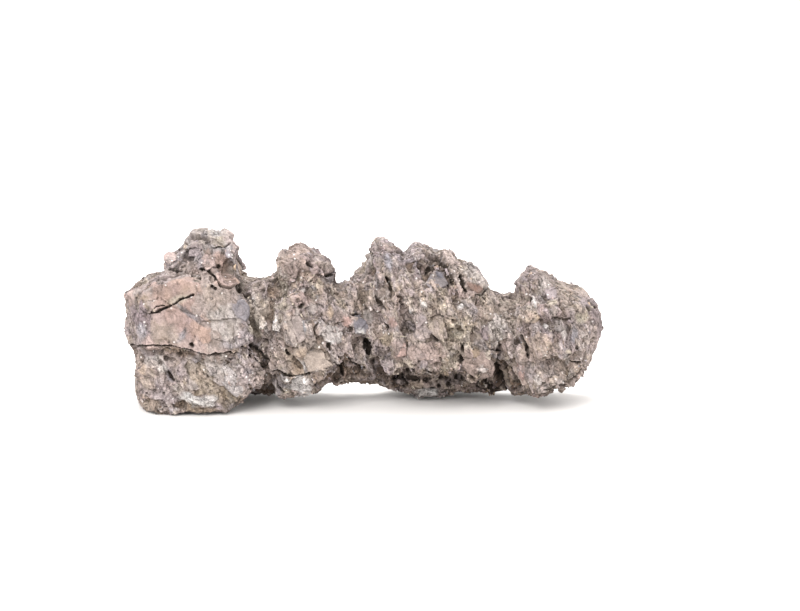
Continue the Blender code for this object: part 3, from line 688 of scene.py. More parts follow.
def keep_in_box(points, over):
    """Points held within the solid's box, let out by `over`, and never below the floor."""
    low, high = np.array(CAD_BOX[0]) - over, np.array(CAD_BOX[1]) + over
    low[2] = 0.0
    return np.clip(points, low, high)


# ---------------------------------------------------------------- the stone's skin

VOXEL = 0.95 * MM
SKIN_TRIANGLES = 197000
# How far the skin may stand out of the solid's box.
SKIN_OVER = 0.6 * MM
# The stone's layers lean by this many degrees, and its grains are longer than wide along them.
LAYER_LEAN = 21.0
GRAIN = 6.4 * MM
GRAIN_STRETCH = 2.0
# The chips' seeds count up from the first one's, and the third kind of chips are the grains.
CHIP_SEED = SEED + 10
GRAIN_SEED = CHIP_SEED + 2
# How far the skin's middle height lies under the solid's face.
WORN = 1.1 * MM
# What thinning the skin's front costs more than its back, for each metre of edge.
FRONT_CARE = 1e-5
# The front's marks fade out between these two places on Y.
FRONT_FADES = (20 * MM, 34 * MM)
# How calm the skin is where no patch says so, and how much that changes.
CALM_MIDDLE, CALM_SWING = 0.36, 0.26
# A patch whose lesser half measure is over this, in millimetres, takes whole grains, and how nearly.
BROAD_PATCH = 6
GRAIN_SNAP = 0.8
# The share of earlier lifts that a patch with no lift of its own takes away.
FLAT_PATCH_EVENS = 0.25
# How much a face that looks up counts as one that looks to the front, and where it starts and ends
# to carry the front's marks.
UP_COUNTS = 0.35
MARKED_FACES = (-0.15, 0.15)

# Broken chips, from slabs to crumbs: size, lean in degrees, how much longer than wide, how far they
# step and how far they tilt in their own size, how strongly they show at least, and how much more
# where the stone is rough. The slabs show more where it is calm.
CHIPS = [
    (32.0 * MM, -35.0, 1.3, 0.02, 0.13, 0.25, 0.75),
    (15.0 * MM, LAYER_LEAN, 2.4, 0.15, 0.25, 0.20, 0.60),
    (GRAIN, LAYER_LEAN, GRAIN_STRETCH, 0.13, 0.28, 0.10, 0.70),
    (3.1 * MM, LAYER_LEAN, 1.6, 0.20, 0.36, 0.14, 0.92),
]
# How each of them is coloured: how often it takes a clast's colour, how much of it, and how far
# its own light strays.
CHIP_TINTS = [(0.40, 0.30, 0.07), (0.45, 0.40, 0.10), (0.50, 0.50, 0.11), (0.45, 0.55, 0.17)]
# The seams between slabs, between big chips and between grains: width in their size, and depth.
SEAMS = [(0.025, 0.25 * MM), (0.06, 0.80 * MM), (0.13, 0.50 * MM)]
# Pits: the size of their cells, the share of cells that hold one, their radius in that size, their
# depth, and how much of that a calm face shows.
PITS = [
    (8.5 * MM, 0.24, 0.25, 3.2 * MM, 0.00),
    (4.6 * MM, 0.36, 0.28, 1.8 * MM, 0.04),
    (2.8 * MM, 0.38, 0.32, 1.0 * MM, 0.10),
]
# The pits of the crust under the further tower, in the same way.
CAVE_PITS = (6.5 * MM, 0.80, 0.40, 4.5 * MM)
# How much deeper pits are on the underside, and how much a calm face shows of the seams between
# grains and big chips.
UNDER_DEEPENS = 0.8
SEAMS_ON_CALM = 0.12
# Fine noise all over: its size and its height.
FINE_NOISE = (2.4 * MM, 0.30 * MM)
# Thin ribs along the layers: how much longer than wide, how wide, their height anywhere, and how
# much more they have on the towers.
RIBS = (6.0, 3.4 * MM, 1.0 * MM, 1.9 * MM)
# Where the towers' ribs start and are full, in millimetres on the front: at the left, at the right,
# upwards, and to both sides of the smooth place between the towers.
TOWERS_LEFT, TOWERS_RIGHT, TOWERS_UP = (-84, -70), (96, 112), (66, 92)
SMOOTH_ACROSS, SMOOTH_SIDES = -14, (12, 20)
# Where the cave's crust under the further tower starts and ends, in the same way.
CAVE_LEFT, CAVE_RIGHT, CAVE_FOOT, CAVE_ROOF = (14, 24), (108, 114), (4, 10), (24, 32)
# A soft spot's shift fades between these shares of its size, and over these millimetres on Y.
SHIFT_FADES, SHIFT_BACK_MM = (0.5, 1.4), 9
# How far cracks and ridges wander, in millimetres, and how much their width changes.
WANDER_MM = 0.4
UNEVEN_WIDTH = 0.55
# Where a crack's wall and a ridge's flank start and end, in half widths.
CRACK_WALL = (0.45, 1.1)
RIDGE_FLANK = (0.3, 1.6)

# How far the skin's colour goes towards that of moss and of stains; towards brown in wide hollows, painted
# shade with dirt; towards umber on the underside, painted shade; and towards brown in the cave's crust, its
# own brown with painted shade; where each is strongest.
MOSS_SHARE = 0.60
STAIN_SHARE = 0.26
HOLLOW_SHADE_AND_DIRT = 0.36
UNDERSIDE_SHADE_UMBER = 0.40
CAVE_BROWN_AND_SHADE = 0.15
# How much lighter raised edges are, and how much darker small hollows are painted, as their shade.
RAISED_EDGE_LIGHTENS = 0.14
HOLLOW_SHADE_DIMS = 0.30
# A hollow lies below the mean of what is around it: a few rounds of averaging tell small hollows and raised
# edges, and many tell wide hollows.
NEAR_ROUNDS, WIDE_ROUNDS = 3, 40
# How far an edge stands above that mean, and a small and a wide hollow lie below it, where each
# counts in full.
RAISED_EDGE_HEIGHT, HOLLOW_DEPTH, WIDE_DEPTH = 0.30 * MM, 0.45 * MM, 2.4 * MM
# How deep a pit and a crack are where their painted shade, with dirt, hides the stone, and the most that it
# hides in a pit.
PIT_SHADE_DEPTH, CRACK_SHADE_DEPTH, MOST_PIT_SHADE = 2.2 * MM, 2.0 * MM, 0.85
# The matrix's broad changes from lilac to grey, its moss and its stains: their size, and the noise
# at which each starts and is full.
BLOTCHES = [(34 * MM, -0.5, 0.5), (24 * MM, 0.0, 0.7), (9 * MM, 0.05, 0.55)]
# The places on Y where the skin's back starts and where it is all back, for the thinning.
BACK = (5 * MM, 30 * MM)
# The least depth of a crack that is kept whole in the thinning.
CRACK_KEPT = 0.4 * MM


def dense_copy(node):
    """A copy of the solid's surface as a mesh of even squares, a little softened."""
    mesh = node.data.copy()
    bm = bmesh.new()
    bm.from_mesh(mesh)
    bmesh.ops.remove_doubles(bm, verts=bm.verts, dist=1e-6)
    bm.to_mesh(mesh)
    bm.free()
    rough = add_object("rough", mesh)
    squares = rough.modifiers.new("squares", "REMESH")
    squares.mode = "VOXEL"
    squares.voxel_size = VOXEL
    soften = rough.modifiers.new("soften", "SMOOTH")
    soften.factor = 0.5
    soften.iterations = 3
    even = bpy.data.meshes.new_from_object(rough.evaluated_get(bpy.context.evaluated_depsgraph_get()))
    bpy.data.objects.remove(rough)
    return even


def hollowness(mesh, points, normals, rounds):
    """How far below its surroundings each point lies, along its normal, after that many rounds.

    In a round, every point moves to the mean of the points joined to it.
    """
    edges = np.empty(len(mesh.edges) * 2, np.int64)
    mesh.edges.foreach_get("vertices", edges)
    first, second = edges[0::2], edges[1::2]
    count = np.bincount(edges, minlength=len(points))
    mean = points.copy()
    for _ in range(rounds):
        for axis in range(3):
            line = mean[:, axis]
            total = np.bincount(first, line[second], len(points))
            total += np.bincount(second, line[first], len(points))
            mean[:, axis] = total / count
    return ((mean - points) * normals).sum(axis=1)


def chips(points, seed, size, lean, stretch, step, tilt):
    """Heights of broken chips, in cell sizes: every grain of the pattern is a flat facet.

    A facet's height is a random step, plus its random slope times the way from the grain's
    centre. Gives the heights, the grains' names and the gap to the next grain.
    """
    home, way, _, gap = grains(turned(points, lean, stretch), size, seed)
    chance = cell_random(home, seed + 7, 4)
    slope = chance[:, 1:4] * 2.0 - 1.0
    slope /= np.maximum(np.linalg.norm(slope, axis=1), 0.3)[:, None]
    heights = (chance[:, 0] - 0.5) * step + (slope * way).sum(axis=1) * tilt
    return heights, home, gap


def pits(points, seed, size, share, radius, depth):
    """Depths of pits: a share of the grains are hollows, deepest at their middle, as sqrt(1 - r²)."""
    home, _, near, _ = grains(points, size, seed)
    chance = cell_random(home, seed + 3, 2)
    reach = radius * (0.6 + 0.8 * chance[:, 1])
    bowl = np.clip(1.0 - (near / reach) ** 2, 0.0, 1.0)
    return np.where(chance[:, 0] < share, np.sqrt(bowl), 0.0) * depth


def lay_patches(points, facing, across, up):
    """What the front's patches say at every point: calm, lift, colour, and the colour's share.

    A broad patch takes or leaves whole grains of the stone: it is measured most of the way
    towards each grain's centre.
    """
    ragged = layered_noise(points, 6 * MM, SEED + 1)
    _, way, _, _ = grains(turned(points, LAYER_LEAN, GRAIN_STRETCH), GRAIN, GRAIN_SEED)
    snap = GRAIN_SNAP * GRAIN / MM * way
    lean = math.radians(LAYER_LEAN)
    grain_across = across - snap[:, 0] * math.cos(lean) + snap[:, 2] * GRAIN_STRETCH * math.sin(lean)
    grain_up = up - snap[:, 0] * math.sin(lean) - snap[:, 2] * GRAIN_STRETCH * math.cos(lean)
    calm = CALM_MIDDLE + CALM_SWING * soft_noise(points, 26 * MM, SEED + 2)
    lift = np.zeros(len(points))
    tint = np.zeros((len(points), 3))
    share = np.zeros(len(points))
    for index, (*place, own_calm, own_lift, name, own_share) in enumerate(PATCHES):
        broad = min(place[2:4]) > BROAD_PATCH
        seen = (grain_across, grain_up) if broad else (across, up)
        near, inside = patch(*seen, ragged, place, SEED + 300 + index)
        inside = inside * facing[near]
        calm[near] += (own_calm - calm[near]) * inside
        lift[near] += (own_lift * MM - lift[near]) * inside * (1.0 if own_lift else FLAT_PATCH_EVENS)
        tint[near] += (stone_colour(name) - tint[near]) * inside[:, None]
        share[near] += (own_share - share[near]) * inside
    return calm, lift, tint, share


def rib_heights(points, across, up):
    """Thin ribs where the layers stand on edge, strongest high on the two towers: h (0.5 - |n|),
    where n is noise that is long along the layers and h is from 1 to 2.9 mm."""
    long, wide, anywhere, more = RIBS
    towers = smooth_step(across, *TOWERS_LEFT) * (1.0 - smooth_step(across, *TOWERS_RIGHT))
    towers *= smooth_step(up, *TOWERS_UP) * smooth_step(np.abs(across - SMOOTH_ACROSS), *SMOOTH_SIDES)
    layers = soft_noise(turned(points, LAYER_LEAN, long), wide, SEED + 15)
    return (0.5 - np.abs(layers)) * (anywhere + more * towers)


def cave_share(across, up, facing):
    """1 on the pitted crust under the further tower, and 0 outside it."""
    cave = smooth_step(across, *CAVE_LEFT) * (1.0 - smooth_step(across, *CAVE_RIGHT))
    return cave * smooth_step(up, *CAVE_FOOT) * (1.0 - smooth_step(up, *CAVE_ROOF)) * facing


def skin_shape(points, normals):
    """The skin's heights over the solid, in metres, and the facts that its colours need.

    The height is the sum of the chips, fine noise, ribs, ridges and patches' lifts, less the
    pits, seams and cracks.
    """
    across, up = on_front(points)
    facing = smooth_step(-normals[:, 1] + UP_COUNTS * normals[:, 2], *MARKED_FACES)
    facing *= 1.0 - smooth_step(points[:, 1], *FRONT_FADES)
    calm, lift, tint, share = lay_patches(points, facing, across, up)
    rough = 1.0 - calm
    height = np.full(len(points), -WORN)
    homes, gaps = [], []
    for index, (*form, least, more) in enumerate(CHIPS):
        facets, home, gap = chips(points, CHIP_SEED + index, *form)
        height += facets * form[0] * (least + more * (rough if index else calm))
        homes.append(home)
        gaps.append(gap)
    fine_size, fine_height = FINE_NOISE
    height += layered_noise(points, fine_size, SEED + 14) * fine_height * (0.2 + 0.8 * rough)
    height += rib_heights(points, across, up) * rough

    hollow = np.zeros(len(points))
    for index, (*form, on_calm) in enumerate(PITS):
        hollow += pits(points, SEED + 21 + index, *form) * (on_calm + (1.0 - on_calm) * rough)
    slab_seam, big_seam, grain_seam = (
        (1.0 - smooth_step(gap, 0.0, wide)) * deep for gap, (wide, deep) in zip(gaps, SEAMS)
    )
    hollow += (grain_seam + big_seam) * (SEAMS_ON_CALM + (1.0 - SEAMS_ON_CALM) * rough)
    hollow += slab_seam * calm
    cave = cave_share(across, up, facing)
    hollow += pits(points, SEED + 24, *CAVE_PITS) * cave

    wander = layered_noise(points, 4 * MM, SEED + 31) * WANDER_MM
    uneven = 1.0 + UNEVEN_WIDTH * soft_noise(points, 3 * MM, SEED + 32)
    cut = np.zeros(len(points))
    for run, depth in CRACKS:
        off = run_distance(across + wander, up + wander, run) * uneven
        cut = np.maximum(cut, (1.0 - smooth_step(off, *CRACK_WALL)) * depth * MM * facing)
    for run, rise in RIDGES:
        off = run_distance(across + wander, up + wander, run) * uneven
        height += (1.0 - smooth_step(off, *RIDGE_FLANK)) * rise * MM * facing
    hollow *= 1.0 + UNDER_DEEPENS * smooth_step(-normals[:, 2], 0.1, 0.6)
    height += lift - hollow - cut
    facts = dict(
        tint=tint, share=share, rough=rough, calm=calm, cave=cave, homes=homes, hollow=hollow, cut=cut
    )
    return height, facts


def skin_shift(points):
    """How far each point moves along the sheet so that the outline is met: each soft spot's shift,
    less and less from half way out, and none at 1.4 of its size."""
    across, up = on_front(points)
    moved = np.zeros_like(points)
    for middle_across, middle_up, wide, tall, right, above, back in SHIFTS:
        off = np.hypot((across - middle_across) / wide, (up - middle_up) / tall)
        share = 1.0 - smooth_step(off, *SHIFT_FADES)
        share *= 1.0 - smooth_step(points[:, 1], back * MM, (back + SHIFT_BACK_MM) * MM)
        moved += (share * MM)[:, None] * (right * VIEW_RIGHT + above * VIEW_UP)
    return moved


def toward(colour, name, share):
    """A colour mixed with one of the palette's, by a share for every point."""
    return colour + (stone_colour(name) - colour) * share[:, None]


def skin_colours(points, normals, facts, near_hollow, wide_hollow):
    """The skin's colour at every point, as light, with painted shade in hollows, on the underside and on
    rough tops, and how dark a hollow the point lies in.
    """
    grey, olive, lilac = MATRIX_COLOURS
    drift, moss, stain = (
        smooth_step(layered_noise(points, size, SEED + 41 + index), start, full)
        for index, (size, start, full) in enumerate(BLOTCHES)
    )
    colour = stone_colour(grey) * drift[:, None] + stone_colour(lilac) * (1.0 - drift[:, None])
    colour = toward(colour, olive, moss * MOSS_SHARE)
    colour = toward(colour, "ochre", stain * STAIN_SHARE)
    rough = facts["rough"]
    for index, (home, (often, mix, spread)) in enumerate(zip(facts["homes"], CHIP_TINTS)):
        chance = cell_random(home, SEED + 50 + index, 3)
        keep = mix * (chance[:, 0] < often) * (0.30 + 0.70 * rough)
        colour += (pick(chance[:, 1]) - colour) * keep[:, None]
        lighter = 1.0 + spread * (chance[:, 2] * 2.0 - 1.0)
        colour *= lighter[:, None] ** (0.4 + 0.6 * rough)[:, None]
    colour += (facts["tint"] - colour) * facts["share"][:, None]

    raised_edge = np.clip(-near_hollow / RAISED_EDGE_HEIGHT, 0.0, 1.0)
    sunk = np.clip(near_hollow / HOLLOW_DEPTH, 0.0, 1.0)
    shut = np.clip(wide_hollow / WIDE_DEPTH, 0.0, 1.0)
    under = smooth_step(-normals[:, 2], 0.25, 0.75)
    # Raised edges lighter, and small hollows darker as painted shade.
    colour *= (1.0 + RAISED_EDGE_LIGHTENS * raised_edge - HOLLOW_SHADE_DIMS * sunk)[:, None]
    # Wide hollows go towards brown: painted shade, with dirt.
    colour = toward(colour, "brown", shut * HOLLOW_SHADE_AND_DIRT)
    # Faces that look down are painted towards umber, as their shade.
    colour = toward(colour, "umber", under * UNDERSIDE_SHADE_UMBER)
    # The cave's crust goes towards brown: its own colour, with painted shade.
    colour = toward(colour, "brown", facts["cave"] * CAVE_BROWN_AND_SHADE)
    colour *= (1.0 - CALM_DIMS * facts["calm"])[:, None]
    # Rough faces that look up are painted darker, against the lamp overhead.
    top = smooth_step(normals[:, 2], 0.25, 0.85) * rough
    colour *= (1.0 - TOP_PAINTED_SHADE * top)[:, None]
    # Pits and cracks take a share of near black: their painted shade, with dirt.
    deep = np.clip(facts["hollow"] / PIT_SHADE_DEPTH, 0.0, MOST_PIT_SHADE) + facts["cut"] / CRACK_SHADE_DEPTH
    return np.clip(colour, 0.0, 1.0), np.clip(deep, 0.0, 1.0)


def thin_skin(skin, points, normals, cut):
    """Thins the skin to its share of triangles: least in the cracks, and most on the back.

    A point's weight runs in quarters from 0 in the cracks, which stay whole, and 1/4 on the front
    to 1 on the back.
    """
    mesh = skin.data
    group = skin.vertex_groups.new(name="spare")
    back = smooth_step(points[:, 1], *BACK) * smooth_step(normals[:, 1], -0.2, 0.3)
    levels = 1 + np.round(back * 3).astype(int)
    levels[cut > CRACK_KEPT] = 0
    for level in range(5):
        chosen = np.nonzero(levels == level)[0].tolist()
        if chosen:
            group.add(chosen, level / 4, "REPLACE")
    thin = skin.modifiers.new("thin", "DECIMATE")
    mesh.calc_loop_triangles()
    thin.ratio = SKIN_TRIANGLES / len(mesh.loop_triangles)
    thin.vertex_group = "spare"
    thin.vertex_group_factor = FRONT_CARE
    graph = bpy.context.evaluated_depsgraph_get()
    final = bpy.data.meshes.new_from_object(
        skin.evaluated_get(graph), preserve_all_data_layers=True, depsgraph=graph
    )
    skin.modifiers.clear()
    skin.vertex_groups.clear()
    thinned, _ = read_points(final)
    final.vertices.foreach_set("co", keep_in_box(thinned, SKIN_OVER).ravel())
    skin.data = final
    final.name = "stone_skin"


def make_skin(node):
    """The stone's whole surface: each point moves by its height along the normal, and by the
    outline's shift. It is thinned last, to stay under the most triangles a piece may have."""
    mesh = dense_copy(node)
    points, normals = read_points(mesh)
    height, facts = skin_shape(points, normals)
    shaped = keep_in_box(points + normals * height[:, None] + skin_shift(points), SKIN_OVER)
    mesh.vertices.foreach_set("co", shaped.ravel())
    near_hollow = hollowness(mesh, shaped, normals, NEAR_ROUNDS)
    wide_hollow = hollowness(mesh, shaped, normals, WIDE_ROUNDS)
    colour, deep = skin_colours(points, normals, facts, near_hollow, wide_hollow)
    give_attribute(mesh, "tint", colour)
    give_attribute(mesh, "deep", deep)
    give_attribute(mesh, "calm", facts["calm"])
    mesh.name = "stone_skin"
    skin = add_object("stone_skin", mesh)
    thin_skin(skin, points, normals, facts["cut"])
    return skin


# ---------------------------------------------------------------- single clasts on the front

# Clasts that stand out: the outline as (across, up) in millimetres, how far the middle stands out,
# how much the face recedes to the right and upwards, how calm it is, and its colour.
CLASTS = [
    ([(-54, 45), (-41, 48), (-35, 46), (-33, 38), (-26, 33), (-34, 30), (-47, 27)],
     1.6, 0.1, 0.35, 0.90, "sand"),
    ([(-36, 63), (-33, 66), (-24, 66), (-18, 60), (-20, 52), (-26, 50), (-32, 54)],
     1.2, 0.0, 0.1, 0.6, "white"),
    ([(51, 101), (57, 113), (61, 116), (65, 109), (70, 101), (65, 98), (54, 98)],
     0.8, 0.0, 0.3, 1.0, "flint"),
    ([(81, 35), (87, 40), (97, 41), (107, 36), (109, 29), (105, 23), (95, 21), (86, 27)],
     1.6, 0.0, 0.1, 0.6, "dusk"),
    ([(35, 44), (39, 50), (50, 49), (55, 53), (63, 49), (64, 42), (60, 37), (39, 37)],
     1.0, 0.0, 0.1, 0.65, "dusk"),
    ([(24, 45), (25, 53), (29, 56), (34, 53), (35, 41), (27, 39)], 1.0, 0.0, 0.1, 0.7, "rose"),
    ([(87, 100), (93, 102), (99, 97), (96, 93), (89, 96)], 1.4, 0.1, 0.3, 0.9, "terracotta"),
    ([(-109, 80), (-107, 87), (-102, 88), (-97, 82), (-97, 74), (-100, 69), (-106, 73)],
     0.8, 0.1, 0.1, 0.95, "slate"),
    ([(57, 70), (63, 72), (68, 63), (69, 56), (63, 53), (58, 62)], 0.6, 0.0, 0.1, 0.7, "ash"),
    ([(41, 58), (46, 71), (52, 66), (54, 56), (46, 53)], 0.6, 0.0, 0.1, 0.6, "ash"),
    ([(-132, 35), (-125, 38), (-112, 30), (-100, 21), (-101, 11), (-109, 6), (-117, 14), (-127, 26)],
     1.2, 0.0, 0.1, 0.35, "silver"),
    ([(-63, 74), (-57, 77), (-49, 66), (-50, 56), (-55, 51), (-61, 62)], 0.6, 0.1, 0.1, 0.75, "ash"),
    ([(66, 128), (71, 129), (76, 121), (77, 112), (72, 115), (68, 122)], 1.2, 0.3, 0.2, 0.5, "ash"),
    ([(88, 43), (92, 47), (98, 44), (97, 40), (91, 39)], 1.2, 0.0, 0.1, 0.8, "tan"),
    ([(-169, 125), (-165, 128), (-159, 127), (-158, 121), (-165, 118), (-169, 121)],
     1.0, 0.0, 0.2, 0.7, "pale rose"),
    ([(46, 88), (51, 86), (52, 81), (48, 83)], 1.4, 0.0, 0.3, 0.9, "snow"),
    ([(150, 97), (156, 100), (161, 96), (160, 89), (153, 88)], 0.8, 0.0, 0.2, 0.8, "lilac"),
    ([(141, 21), (145, 25), (149, 21), (148, 16), (142, 16)], 0.8, 0.0, 0.1, 0.7, "white"),
    ([(127, 37), (131, 39), (134, 28), (133, 19), (129, 22)], 1.2, -0.2, 0.1, 0.6, "rose"),
    ([(98, 63), (103, 67), (105, 58), (103, 53), (99, 55)], 0.8, 0.0, 0.1, 0.7, "dark lilac"),
    ([(-18, 72), (-14, 74), (-11, 69), (-14, 64), (-18, 66)], 0.8, 0.0, 0.1, 0.85, "rose"),
    ([(-148, 124), (-147, 135), (-140, 138), (-137, 131), (-140, 124)], 1.2, -0.1, 0.2, 0.5, "lilac"),
    ([(-139, 121), (-134, 127), (-127, 123), (-125, 116), (-133, 112)], 0.8, 0.0, 0.2, 0.7, "pale rose"),
    ([(-63, 20), (-55, 23), (-46, 19), (-45, 12), (-54, 7), (-62, 10)], 0.8, 0.1, -0.1, 0.6, "snow"),
]
CLAST_TURNS = 44
# The rings of a clast from its middle outwards: share of the outline, and height in millimetres.
CLAST_RINGS = [
    (0.12, 0.0), (0.25, 0.0), (0.38, 0.0), (0.5, 0.0), (0.62, 0.0), (0.74, 0.0), (0.85, 0.0),
    (0.93, -0.3), (1.0, -1.2), (1.04, -2.6), (1.0, -6.0),
]
# How far a clast may stand out of the solid's box, and how much it takes of the skin's colour.
CLAST_OVER = 0.8 * MM
CLAST_BLENDS = 0.40
# The skin that carries a clast: how squarely it faces the front, how far it reaches in the clast's
# mean radius, and how far behind its nearest points it may lie.
CLAST_FACING = 0.15
CLAST_SPAN = 1.2
CLAST_BEHIND = 12.0 * MM
# The share of its stand by which a clast comes forward of the skin behind it.
CLAST_FORWARD = 0.7
# Its fine noise: size, and how far it moves a point forwards and sideways.
CLAST_NOISE, NOISE_FORWARD, NOISE_SIDEWAYS = 3.0 * MM, 0.5 * MM, 0.7 * MM
# The chips that break a clast: size, lean, how much longer than wide, step and tilt.
CLAST_CHIPS = (5.5 * MM, LAYER_LEAN, 1.2, 0.10, 0.22)


def outline_reach(outline, angles):
    """How far the outline lies from its middle in each direction: r = (a x e) / (d x e), the
    crossing of the direction d with the side e that starts at a."""
    corners = np.array(outline, float)
    middle = corners.mean(axis=0)
    start = corners - middle
    side = np.roll(start, -1, axis=0) - start
    way = np.stack([np.cos(angles), np.sin(angles)], axis=1)
    across = way[:, None, 0] * side[None, :, 1] - way[:, None, 1] * side[None, :, 0]
    across = np.where(np.abs(across) < 1e-9, 1e-9, across)
    reach = (start[:, 0] * side[:, 1] - start[:, 1] * side[:, 0])[None] / across
    along = (start[None, :, 0] * way[:, None, 1] - start[None, :, 1] * way[:, None, 0]) / across
    met = (reach > 0) & (along > -1e-6) & (along < 1 + 1e-6)
    return middle, np.where(met, reach, 1e9).min(axis=1)


def ring_triangles(rings, turns):
    """The triangles of a closed form: a middle point, rings of `turns` points and a back point."""
    here = np.arange(turns)
    following = (here + 1) % turns
    base = 1 + np.arange(rings - 1)[:, None] * turns
    quads = np.stack([base + here, base + turns + here, base + turns + following, base + following],
                     axis=-1).reshape(-1, 4)
    top = np.stack([np.zeros_like(here), 1 + here, 1 + following], axis=1)
    last = 1 + (rings - 1) * turns
    back = np.stack([np.full_like(here, last + turns), last + following, last + here], axis=1)
    return np.concatenate([top, quads[:, :3], quads[:, [0, 2, 3]], back])


def skin_behind(front, middle, radius):
    """Which of the skin's points lie behind a spot of the front, and the plane through them: their
    depth behind the sheet is a + b u + c v, fitted by least squares."""
    across, up, away, faces_us = front
    close = faces_us & (np.hypot(across - middle[0], up - middle[1]) < radius * CLAST_SPAN)
    near = close & (away < np.percentile(away[close], 10) + CLAST_BEHIND)
    table = np.stack([np.ones(near.sum()), across[near] - middle[0], up[near] - middle[1]], axis=1)
    return near, np.linalg.lstsq(table, away[near], rcond=None)[0]


def shape_clast(outline, stand, right_tilt, up_tilt, calm, front):
    """One clast's points, its light and dark, and which of the skin's points lie behind it.

    Its rings are shares of the outline. Their depth is the plane of the skin behind, drawn forward
    by most of the clast's stand, tilted, and broken by chips and fine noise, less on a calm clast.
    """
    angles = np.arange(CLAST_TURNS) * 2 * math.pi / CLAST_TURNS
    shares, drops = (np.array(line) for line in zip(*CLAST_RINGS))
    middle, reach = outline_reach(outline, angles)
    near, plane = skin_behind(front, middle, reach.mean())
    ring_across = shares[:, None] * reach[None] * np.cos(angles)[None]
    ring_up = shares[:, None] * reach[None] * np.sin(angles)[None]
    flat_across = np.concatenate([[0.0], ring_across.ravel(), [0.0]])
    flat_up = np.concatenate([[0.0], ring_up.ravel(), [0.0]])
    drop = np.concatenate([[0.0], np.repeat(drops, CLAST_TURNS), [drops[-1]]])
    depth = plane[0] + plane[1] * flat_across + plane[2] * flat_up
    depth += (right_tilt * flat_across + up_tilt * flat_up - stand * CLAST_FORWARD - drop) * MM
    placed = from_front(flat_across + middle[0], flat_up + middle[1], depth)
    bits, home, _ = chips(placed, SEED + 91, *CLAST_CHIPS)
    fine = layered_noise(placed, CLAST_NOISE, SEED + 92)
    unrest = 1.2 - calm
    placed -= VIEW_AWAY * ((bits * CLAST_CHIPS[0] + fine * NOISE_FORWARD) * unrest)[:, None]
    placed += VIEW_RIGHT * (fine * NOISE_SIDEWAYS * (drop < 0))[:, None]
    patchy = 0.86 + 0.28 * cell_random(home, SEED + 93, 1)[:, 0] + 0.14 * fine
    return keep_in_box(placed, CLAST_OVER), patchy, near


def inset_clasts(skin):
    """The single clasts as one mesh: each is a low, flat-topped stone that follows the skin, and
    takes on some of the colour of the skin behind it."""
    points, normals = read_points(skin.data)
    ground = read_tint(skin.data)
    front = (*on_front(points), (points - LOOK_AT) @ VIEW_AWAY, normals @ -VIEW_AWAY > CLAST_FACING)
    triangles = ring_triangles(len(CLAST_RINGS), CLAST_TURNS)
    all_points, all_faces, tints, calms = [], [], [], []
    for index, (*form, calm, name) in enumerate(CLASTS):
        placed, patchy, near = shape_clast(*form, calm, front)
        own = stone_colour(name) * (1.0 - CALM_DIMS * calm)
        own += (ground[near].mean(axis=0) - own) * CLAST_BLENDS
        all_faces.append(triangles + index * len(placed))
        all_points.append(placed)
        tints.append(own[None] * patchy[:, None])
        calms.append(np.full(len(placed), calm))
    clasts = add_mesh("inset_clasts", np.concatenate(all_points), np.concatenate(all_faces))
    give_attribute(clasts.data, "tint", np.clip(np.concatenate(tints), 0.0, 1.0))
    give_attribute(clasts.data, "calm", np.concatenate(calms))
    return clasts


# ---------------------------------------------------------------- splinters and grit

# What is scattered over the skin: how many, the least and greatest size, the shape as shares of
# that size, how deep it sits in its size, how much of it falls on calm faces, and whether it lies
# along the layers.
SPLINTERS = dict(
    seed=SEED + 72, count=1500, sizes=(1.3 * MM, 4.2 * MM), spread=(0.45, 1.1, 0.45), sunk=0.22,
    calm_share=0.005, layered=True,
)
GRIT = dict(
    seed=SEED + 73, count=2800, sizes=(0.7 * MM, 1.5 * MM), spread=(1.0, 1.0, 0.8), sunk=0.20,
    calm_share=0.02, layered=False,
)
# How far they may stand out of the solid's box, and how far off the floor they stay.
SCATTER_OVER = 1.0 * MM
FLOOR_GAP = 0.2 * MM
# The share of them that the back goes without, and the places on Y where it starts and is full.
BACK_WITHOUT = 0.6
SCATTER_BACK = (0.0, 40 * MM)
# How far each one's own light strays from the skin's.
SCATTER_LIGHT = (0.72, 1.16)


def broken_cubes(rng, count):
    """Points of `count` uneven splinters, as one array, and the faces of one: a cube whose every
    corner is drawn in by its own share."""
    corners = np.array(list(np.ndindex(2, 2, 2))) * 2.0 - 1.0
    faces = np.array([
        (0, 1, 3), (0, 3, 2), (4, 6, 7), (4, 7, 5), (0, 4, 5), (0, 5, 1),
        (2, 3, 7), (2, 7, 6), (0, 2, 6), (0, 6, 4), (1, 5, 7), (1, 7, 3),
    ])
    return corners[None] * rng.uniform(0.25, 0.85, (count, 8, 3)), faces


def skin_axes(rng, normals, layered):
    """Each splinter's three axes: up is near the surface's normal, and the long axis lies near the
    layers' direction if `layered`, and else any way along the surface."""
    up = normals + rng.normal(0.0, 0.22, normals.shape)
    up /= np.linalg.norm(up, axis=1)[:, None]
    lean = math.radians(LAYER_LEAN)
    way = rng.normal(0.0, 0.25 if layered else 1.0, normals.shape)
    way += np.array([-math.sin(lean), 0.0, math.cos(lean)]) * (1.0 if layered else 0.0)
    way -= up * (way * up).sum(axis=1)[:, None]
    way /= np.linalg.norm(way, axis=1)[:, None]
    return np.stack([np.cross(way, up), way, up], axis=1), up


